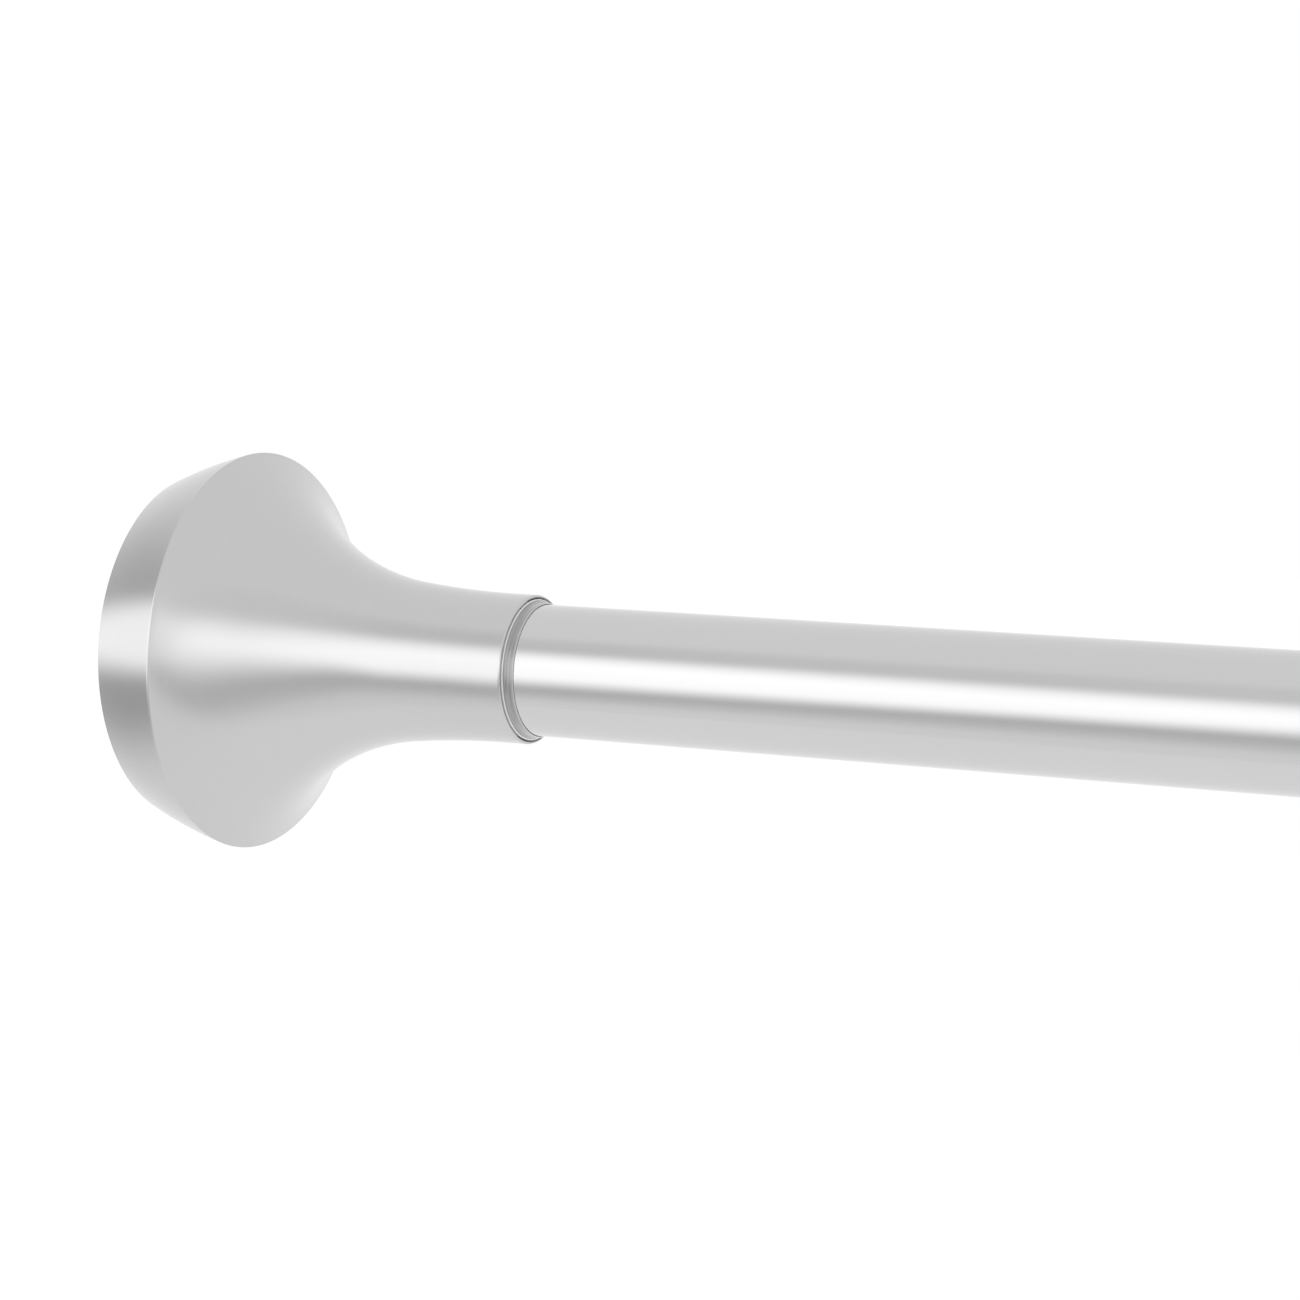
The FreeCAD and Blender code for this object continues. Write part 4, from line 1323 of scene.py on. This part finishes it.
@dataclass
class LockStud:
    """Steel stud of the twist lock with its coarse thread.

    Args:
        right_end: place of its end inside the lock plug.
        left_end: place of its end beyond the stop nut.
        radius: crest radius of the thread.
        pitch: rise of the thread in one turn.
        depth: depth of the thread.
        flank: how steep the groove's sides are.
        crest: how wide the land between the grooves is.
        thread_start: place where the thread begins, outside the plug.
        chamfer: chamfer at both ends.
        station: gap between the points along it.
        segments: number of steps round it.
    """

    right_end: float = 155.9 * MM
    left_end: float = 88.7 * MM
    radius: float = 4.0 * MM
    pitch: float = 3.0 * MM
    depth: float = 0.55 * MM
    flank: float = 1.6
    crest: float = 0.3
    thread_start: float = 134.0 * MM
    chamfer: float = 0.8 * MM
    station: float = 0.16 * MM
    segments: int = 72

    def build(self) -> bpy.types.Object:
        """Turn a profile whose radius falls by a rounded groove that climbs with the angle.

        The radius at (x, a) is the plain stud's less depth times the smooth step of flank times
        w less crest, with w = 1 - |2 frac(x / pitch + a / 2 pi) - 1|. It fades in over one pitch
        where the thread starts.
        """
        along = np.arange(self.left_end, self.right_end, self.station)
        along = np.append(along, self.right_end)[::-1, None]
        angles = np.linspace(0.0, 2.0 * math.pi, self.segments, endpoint=False)[None, :]
        from_end = np.minimum(along - self.left_end, self.right_end - along)
        plain = self.radius - np.clip(self.chamfer - from_end, 0.0, self.chamfer)
        phase = along / self.pitch + angles / (2.0 * math.pi)
        wave = 1.0 - np.abs(2.0 * (phase - np.floor(phase)) - 1.0)
        groove = np.clip(wave * self.flank - self.crest, 0.0, 1.0)
        groove = groove * groove * (3.0 - 2.0 * groove)
        fade = np.clip((self.thread_start - along) / self.pitch, 0.0, 1.0)
        radius = plain - self.depth * groove * fade
        places = [along + 0.0 * radius, radius * np.cos(angles), radius * np.sin(angles)]
        poles = np.array([[self.right_end, 0.0, 0.0], [self.left_end, 0.0, 0.0]])
        points = np.concatenate([np.stack(places, axis=2).reshape(-1, 3), poles])
        faces = wrapped_faces(len(along), self.segments, closed=False)
        piece = mesh_piece("lock_screw_stud", points, faces)
        return settle(piece, "inner_tube", ZINC_STEEL, "lock_screw")


@dataclass
class Fittings:
    """The nodes whose own mesh is shown, each with the finish of its material.

    Args:
        finishes: node names for each finish.
    """

    finishes: Sequence[tuple[Finish, Sequence[str]]] = (
        (
            GREY_PLASTIC,
            (
                "left_foot_plate",
                "right_foot_plate",
                "left_end_plug",
                "lock_plug",
                "guide_plug",
                "spring_seat",
            ),
        ),
        (FOOT_RUBBER, ("grip_ring",)),
        (NYLON, ("grip_sleeve", "cone_nut")),
        (ZINC_STEEL, ("left_foot_screw", "right_foot_screw", "thrust_washer", "stop_nut")),
    )

    def dress(self) -> None:
        """Give each node its finish."""
        for finish, names in self.finishes:
            for name in names:
                finish.dress(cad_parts[name])
                LOG.info("%s: dressed in %s", name, finish.name)


# The studio


class Stand(Enum):
    """Side of the rod on which a panel stands: the way to it, in plan."""

    FRONT = (0.0, -1.0)
    LEFT = (-1.0, 0.0)
    BACK = (0.0, 1.0)


@dataclass
class LightPanel:
    """Upright glowing panel that shiny pieces mirror. It lights nothing and casts no shadow.

    Args:
        name: name of the panel.
        stand: side of the rod on which it stands.
        distance: its distance from the rod's origin.
        start: place of its first end, along its own way.
        end: place of its other end.
        foot: height of its lower edge.
        top: height of its upper edge.
        strongest: more light than any point of it has, where white is 1.
    """

    name: str
    stand: Stand
    distance: float
    start: float
    end: float
    foot: float = -1.4
    top: float = 2.4
    strongest: float = 2.0

    def corners(self) -> np.ndarray:
        """The panel's corners, in an order in which its face looks at the rod."""
        out = np.array([*self.stand.value, 0.0])
        along = np.array([abs(out[1]), abs(out[0]), 0.0])
        ends = [(self.start, self.foot), (self.end, self.foot), (self.end, self.top)]
        ends.append((self.start, self.top))
        if self.stand is Stand.FRONT:
            ends.reverse()
        return np.array([out * self.distance + along * way + (0.0, 0.0, up) for way, up in ends])

    def spot(self, tree: ShaderTree) -> tuple[Value, Value]:
        """Place along the panel and height above the rod, both over the panel's distance."""
        x, y, z = tree.place()
        return (y if self.stand is Stand.LEFT else x) / self.distance, z / self.distance

    def light(self, tree: ShaderTree) -> Value:
        """Light of each point of the panel, where white is 1."""
        raise NotImplementedError

    def glow(self, tree: ShaderTree) -> bpy.types.Node:
        """Shader that gives off the panel's light and nothing else."""
        inputs = {
            "Base Color": (*BLACK, 1.0),
            "Specular IOR Level": 0.0,
            "Emission Color": tree.blend(self.light(tree) * (1.0 / self.strongest), BLACK, WHITE),
            "Emission Strength": self.strongest,
        }
        return tree.surface(inputs)

    def hang(self) -> None:
        """Make the panel and its glow."""
        panel = mesh_piece(self.name, self.corners(), [[0, 1, 2, 3]])
        panel.data.materials.append(new_material(f"{self.name}_glow", self.glow))
        for ray in ("camera", "diffuse", "transmission", "shadow"):
            setattr(panel, f"visible_{ray}", False)


@dataclass
class FrontPanel(LightPanel):
    """Long panel in front of the rod: a bright strip, with dark cloth below and dim cloth above.

    The light is 1 plus the strip's, less that of the two cloths. Each part's edge is a smooth
    step of the height. All numbers are heights or places over the panel's distance, and a pair
    says where a change starts and where it stops.

    Args:
        strip: light of the strip over white.
        strip_far: share of it that fades towards the right.
        strip_end: places of that fading.
        strip_top: heights where the strip fades at its top.
        strip_gain: heights between which the strip gets brighter.
        gain: how much brighter it gets.
        top_tilt: how fast the top edge falls to the right.
        top_ends: places between which it does.
        right_tilt: (place, slope) past which the top edge climbs again.
        strip_foot: height of the strip's lower edge.
        foot_slope: (place, slope) before which that edge falls to the left.
        foot_bends: (place, slope) past each of which it changes its way.
        foot_soft: half width of that edge.
        foot_wider: what the half width grows by, over the way from the middle.
        foot_sharp: what it loses at the right.
        sharp_end: places where it loses that.
        middle: place where the edges are sharpest.
        reach: way from the middle past which they don't widen.
        left: places where the left side's share of the cloths ends.
        dark: what the cloth below takes away.
        dark_left: what it takes away more at the left.
        dark_foot: height of that cloth's lower edge.
        dark_soft: half width of that edge.
        dark_lower: how much lower it gets, over the way from the middle.
        dark_end: places where the cloth fades to the right.
        dark_far: share of it that fades.
        dim: what the cloth above takes away.
        dim_left: what it takes away more at the left.
        dim_top: heights where the cloth above ends.
    """

    strip: float = 0.698
    strip_far: float = 0.548
    strip_end: tuple[float, float] = (1.38, 4.38)
    strip_top: tuple[float, float] = (0.192, 0.992)
    strip_gain: tuple[float, float] = (0.1, 0.7)
    gain: float = 0.4
    top_tilt: float = 0.103
    top_ends: tuple[float, float] = (-1.3, 3.0)
    right_tilt: tuple[float, float] = (1.0, 0.2)
    strip_foot: float = -0.087
    foot_slope: tuple[float, float] = (0.1, 0.31)
    foot_bends: tuple[tuple[float, float], ...] = ((0.8, 0.091), (2.5, -0.04))
    foot_soft: float = 0.215
    foot_wider: float = 0.127
    foot_sharp: float = 0.2
    sharp_end: tuple[float, float] = (1.5, 5.0)
    middle: float = -0.15
    reach: float = 2.0
    left: tuple[float, float] = (-1.2, 0.6)
    dark: float = 0.286
    dark_left: float = 0.161
    dark_foot: float = -0.597
    dark_soft: float = 0.43
    dark_lower: float = 0.295
    dark_end: tuple[float, float] = (4.5, 7.5)
    dark_far: float = 0.457
    dim: float = 0.065
    dim_left: float = 0.122
    dim_top: tuple[float, float] = (1.0, 2.8)

    def light(self, tree: ShaderTree) -> Value:
        """Light of each point of the panel, where white is 1."""
        along, height = self.spot(tree)
        away = (along - self.middle).at_least(self.middle - along).at_most(self.reach)
        leftness = 1.0 - along.rise(*self.left)
        tilt = along.at_least(self.top_ends[0]).at_most(self.top_ends[1]) * self.top_tilt
        tilt = tilt - along.past(self.right_tilt[0]) * self.right_tilt[1]
        upper = (height + tilt).rise(*self.strip_top)
        climb = (self.foot_slope[0] - along).at_least(0.0) * self.foot_slope[1]
        for place, slope in self.foot_bends:
            climb = climb + along.past(place) * slope
        soft = away * self.foot_wider + self.foot_soft
        soft = soft - along.rise(*self.sharp_end) * self.foot_sharp
        lower = ((height + climb - self.strip_foot) / soft).rise(-1.0, 1.0)
        fade = 1.0 - along.rise(*self.strip_end) * self.strip_far
        fade = fade * (1.0 + height.rise(*self.strip_gain) * self.gain)
        strip = lower * (1.0 - upper) * fade * self.strip
        cloth = height - self.dark_foot + away * self.dark_lower
        below = (1.0 - lower) * cloth.rise(-self.dark_soft, self.dark_soft)
        below = below * (1.0 - along.rise(*self.dark_end) * self.dark_far)
        above = upper * (1.0 - height.rise(*self.dim_top))
        dark = below * (leftness * self.dark_left + self.dark)
        dim = above * (leftness * self.dim_left + self.dim)
        return 1.0 + strip - dark - dim


@dataclass
class SidePanel(LightPanel):
    """Panel at the left: a low bright strip between two dark cloths that end behind the rod.

    It is lit as the front panel is, with its own numbers.

    Args:
        strip: light of the strip over white.
        strip_top: heights where the strip fades at its top, at the middle.
        top_slope: how fast that edge climbs to the front.
        strip_foot: heights of the strip's lower edge.
        above: what the cloth above takes away.
        above_top: heights where that cloth fades at its top.
        below: what the cloth below takes away.
        below_foot: heights of that cloth's lower edge.
        back: places where both cloths fade towards the back.
    """

    strip: float = 0.57
    strip_top: tuple[float, float] = (0.02, 0.265)
    top_slope: float = 0.53
    strip_foot: tuple[float, float] = (-0.238, -0.018)
    above: float = 0.38
    above_top: tuple[float, float] = (0.45, 1.05)
    below: float = 0.47
    below_foot: tuple[float, float] = (-0.85, -0.35)
    back: tuple[float, float] = (-0.30, 0.785)

    def light(self, tree: ShaderTree) -> Value:
        """Light of each point of the panel, where white is 1."""
        along, height = self.spot(tree)
        upper = (height + along * self.top_slope).rise(*self.strip_top)
        lower = height.rise(*self.strip_foot)
        strip = lower * (1.0 - upper) * self.strip
        above = upper * (1.0 - height.rise(*self.above_top)) * self.above
        below = (1.0 - lower) * height.rise(*self.below_foot) * self.below
        return 1.0 + strip - (1.0 - along.rise(*self.back)) * (above + below)


@dataclass
class BackPanel(LightPanel):
    """Far panel behind the rod: a low dark band that stands to the right.

    Args:
        dark: what the band takes away.
        band: height of the band's middle, over the panel's distance.
        fade: ways from the band's middle between which it fades.
        left: places where the band starts.
    """

    dark: float = 0.85
    band: float = -0.165
    fade: tuple[float, float] = (0.055, 0.165)
    left: tuple[float, float] = (-0.1, 0.05)

    def light(self, tree: ShaderTree) -> Value:
        """Light of each point of the panel, where white is 1."""
        along, height = self.spot(tree)
        off = (height - self.band).at_least(self.band - height)
        return 1.0 - along.rise(*self.left) * (1.0 - off.rise(*self.fade)) * self.dark


@dataclass
class Studio:
    """Pale studio: the photograph's camera, a white floor, three light panels and plain light.

    Args:
        eye: camera's place.
        forward: way that the camera looks.
        right: way to the picture's right.
        lens: focal length in millimetres.
        sensor: width of the camera's sensor in millimetres.
        seen: nearest and farthest distance that the camera sees.
        floor_height: height of the floor.
        floor_reach: half of its length and width.
        floor_glow: light that the floor gives off, so that it reads as white.
        plain_light: light of the world on all that isn't mirrored.
        lamp: place of the lamp.
        lamp_aim: point that the lamp looks at.
        lamp_size: length and width of the lamp.
        lamp_power: power of the lamp, in watts.
        panels: the light panels.
    """

    eye: tuple[float, float, float] = (0.3614, -0.5349, 0.0888)
    forward: tuple[float, float, float] = (-0.4310, 0.8915, -0.1391)
    right: tuple[float, float, float] = (0.9003, 0.4352, -0.0008)
    lens: float = 87.70
    sensor: float = 36.0
    seen: tuple[float, float] = (0.01, 100.0)
    floor_height: float = -1.4
    floor_reach: float = 12.0
    floor_glow: float = 0.44
    plain_light: float = 0.72
    lamp: tuple[float, float, float] = (0.15, -0.5, 1.3)
    lamp_aim: tuple[float, float, float] = (0.33, 0.0, 0.0)
    lamp_size: tuple[float, float] = (1.6, 1.1)
    lamp_power: float = 5.0
    panels: tuple[LightPanel, ...] = (
        FrontPanel("front_panel", Stand.FRONT, distance=0.9, start=-1.2, end=9.0),
        SidePanel("side_panel", Stand.LEFT, distance=1.2, start=-0.9, end=1.6),
        BackPanel("back_panel", Stand.BACK, distance=4.0, start=-0.6, end=11.0),
    )

    def place_camera(self) -> None:
        """Put the camera where the photograph was taken from, with no shift and no blur."""
        data = bpy.data.cameras.new("photo_camera")
        data.lens, data.sensor_width = self.lens, self.sensor
        data.clip_start, data.clip_end = self.seen
        camera = bpy.data.objects.new("photo_camera", data)
        back = -Vector(self.forward).normalized()
        up = back.cross(Vector(self.right).normalized()).normalized()
        turn = Matrix((up.cross(back), up, back)).transposed()
        camera.matrix_world = Matrix.Translation(Vector(self.eye)) @ turn.to_4x4()
        bpy.context.scene.collection.objects.link(camera)
        bpy.context.scene.camera = camera

    def light_world(self) -> None:
        """White for what looks at the world or mirrors it, and a plain pale light for the rest."""
        world = bpy.data.worlds.new("studio_world")
        bpy.context.scene.world = world
        world.use_nodes = True
        tree = ShaderTree(world.node_tree)
        path = tree.node("ShaderNodeLightPath")
        seen = tree.value(path, "Is Camera Ray").at_least(tree.value(path, "Is Glossy Ray"))
        seen = seen.at_least(tree.value(path, "Is Transmission Ray"))
        plain, white = (
            tree.node(
                "ShaderNodeBackground", inputs={"Color": (*WHITE, 1.0), "Strength": strength}
            ).outputs[0]
            for strength in (self.plain_light, 1.0)
        )
        mixed = tree.node("ShaderNodeMixShader", inputs={0: seen, 1: plain, 2: white})
        tree.node("ShaderNodeOutputWorld", inputs={"Surface": mixed.outputs[0]})

    def floor_white(self, tree: ShaderTree) -> bpy.types.Node:
        """Matt pale surface with faint clouds, which glows a little."""
        clouds = tree.noise(tree.here(), scale=3.0, detail=3.0, rough=0.5)
        inputs = {
            "Base Color": tree.blend(clouds, (0.80, 0.80, 0.80), (0.82, 0.82, 0.82)),
            "Roughness": 0.9,
            "Specular IOR Level": 0.0,
            "Emission Color": (*WHITE, 1.0),
            "Emission Strength": self.floor_glow,
        }
        return tree.surface(inputs)

    def lay_floor(self) -> None:
        """Pale floor that reads as white and still takes a shadow."""
        square = np.array([[-1.0, -1.0, 0.0], [1.0, -1.0, 0.0], [1.0, 1.0, 0.0], [-1.0, 1.0, 0.0]])
        corners = square * self.floor_reach + (0.0, 0.0, self.floor_height)
        floor = mesh_piece("studio_floor", corners, [[0, 1, 2, 3]])
        floor.data.materials.append(new_material("studio_floor_white", self.floor_white))

    def hang_lamp(self) -> None:
        """Wide soft lamp overhead that lights plastics and the floor and isn't mirrored."""
        data = bpy.data.lights.new("overhead_lamp", "AREA")
        data.shape = "RECTANGLE"
        data.size, data.size_y = self.lamp_size
        data.energy = self.lamp_power
        lamp = bpy.data.objects.new("overhead_lamp", data)
        place = Vector(self.lamp)
        turn = (Vector(self.lamp_aim) - place).to_track_quat("-Z", "Y").to_matrix()
        lamp.matrix_world = Matrix.Translation(place) @ turn.to_4x4()
        lamp.visible_camera = False
        lamp.visible_glossy = False
        bpy.context.scene.collection.objects.link(lamp)

    def build(self) -> None:
        """Set the whole studio up."""
        bpy.context.scene.view_settings.view_transform = "Standard"
        self.place_camera()
        self.light_world()
        self.lay_floor()
        for panel in self.panels:
            panel.hang()
        self.hang_lamp()
        LOG.info("studio: camera, world, floor, %d panels and a lamp", len(self.panels))


def main() -> None:
    """Build the studio and every piece of the rod, from the left wall to the right."""
    logging.basicConfig(level=logging.INFO, format="%(message)s")
    Studio().build()
    left, right = Facing.LEFT_WALL, Facing.RIGHT_WALL
    parts = (
        RodTube(
            "outer_tube",
            "outer_tube",
            left,
            start=6.7 * MM,
            end=481.3 * MM,
            radius=12.7 * MM,
            bore=11.9 * MM,
        ),
        RodTube(
            "inner_tube",
            "inner_tube",
            left,
            start=137.9 * MM,
            end=633.3 * MM,
            radius=11.1 * MM,
            bore=10.3 * MM,
        ),
        TubeCollar("outer_tube_collar", "outer_tube", left),
        EndCover("left_cover", "left_cover", left),
        EndCover("right_cover", "right_cover", right),
        NeckBush("left_neck_bush", "left_cover", left, bore=12.75 * MM),
        NeckBush("right_neck_bush", "right_cover", right, bore=11.15 * MM),
        FootPad("left_foot_pad", "outer_tube", left),
        FootPad("right_foot_pad", "right_foot", right),
        FootPlunger("plunger", "plunger", right),
    )
    for part in parts:
        part.build()
    FootSpring().build()
    LockStud().build()
    Fittings().dress()


if __name__ == "__main__":
    main()
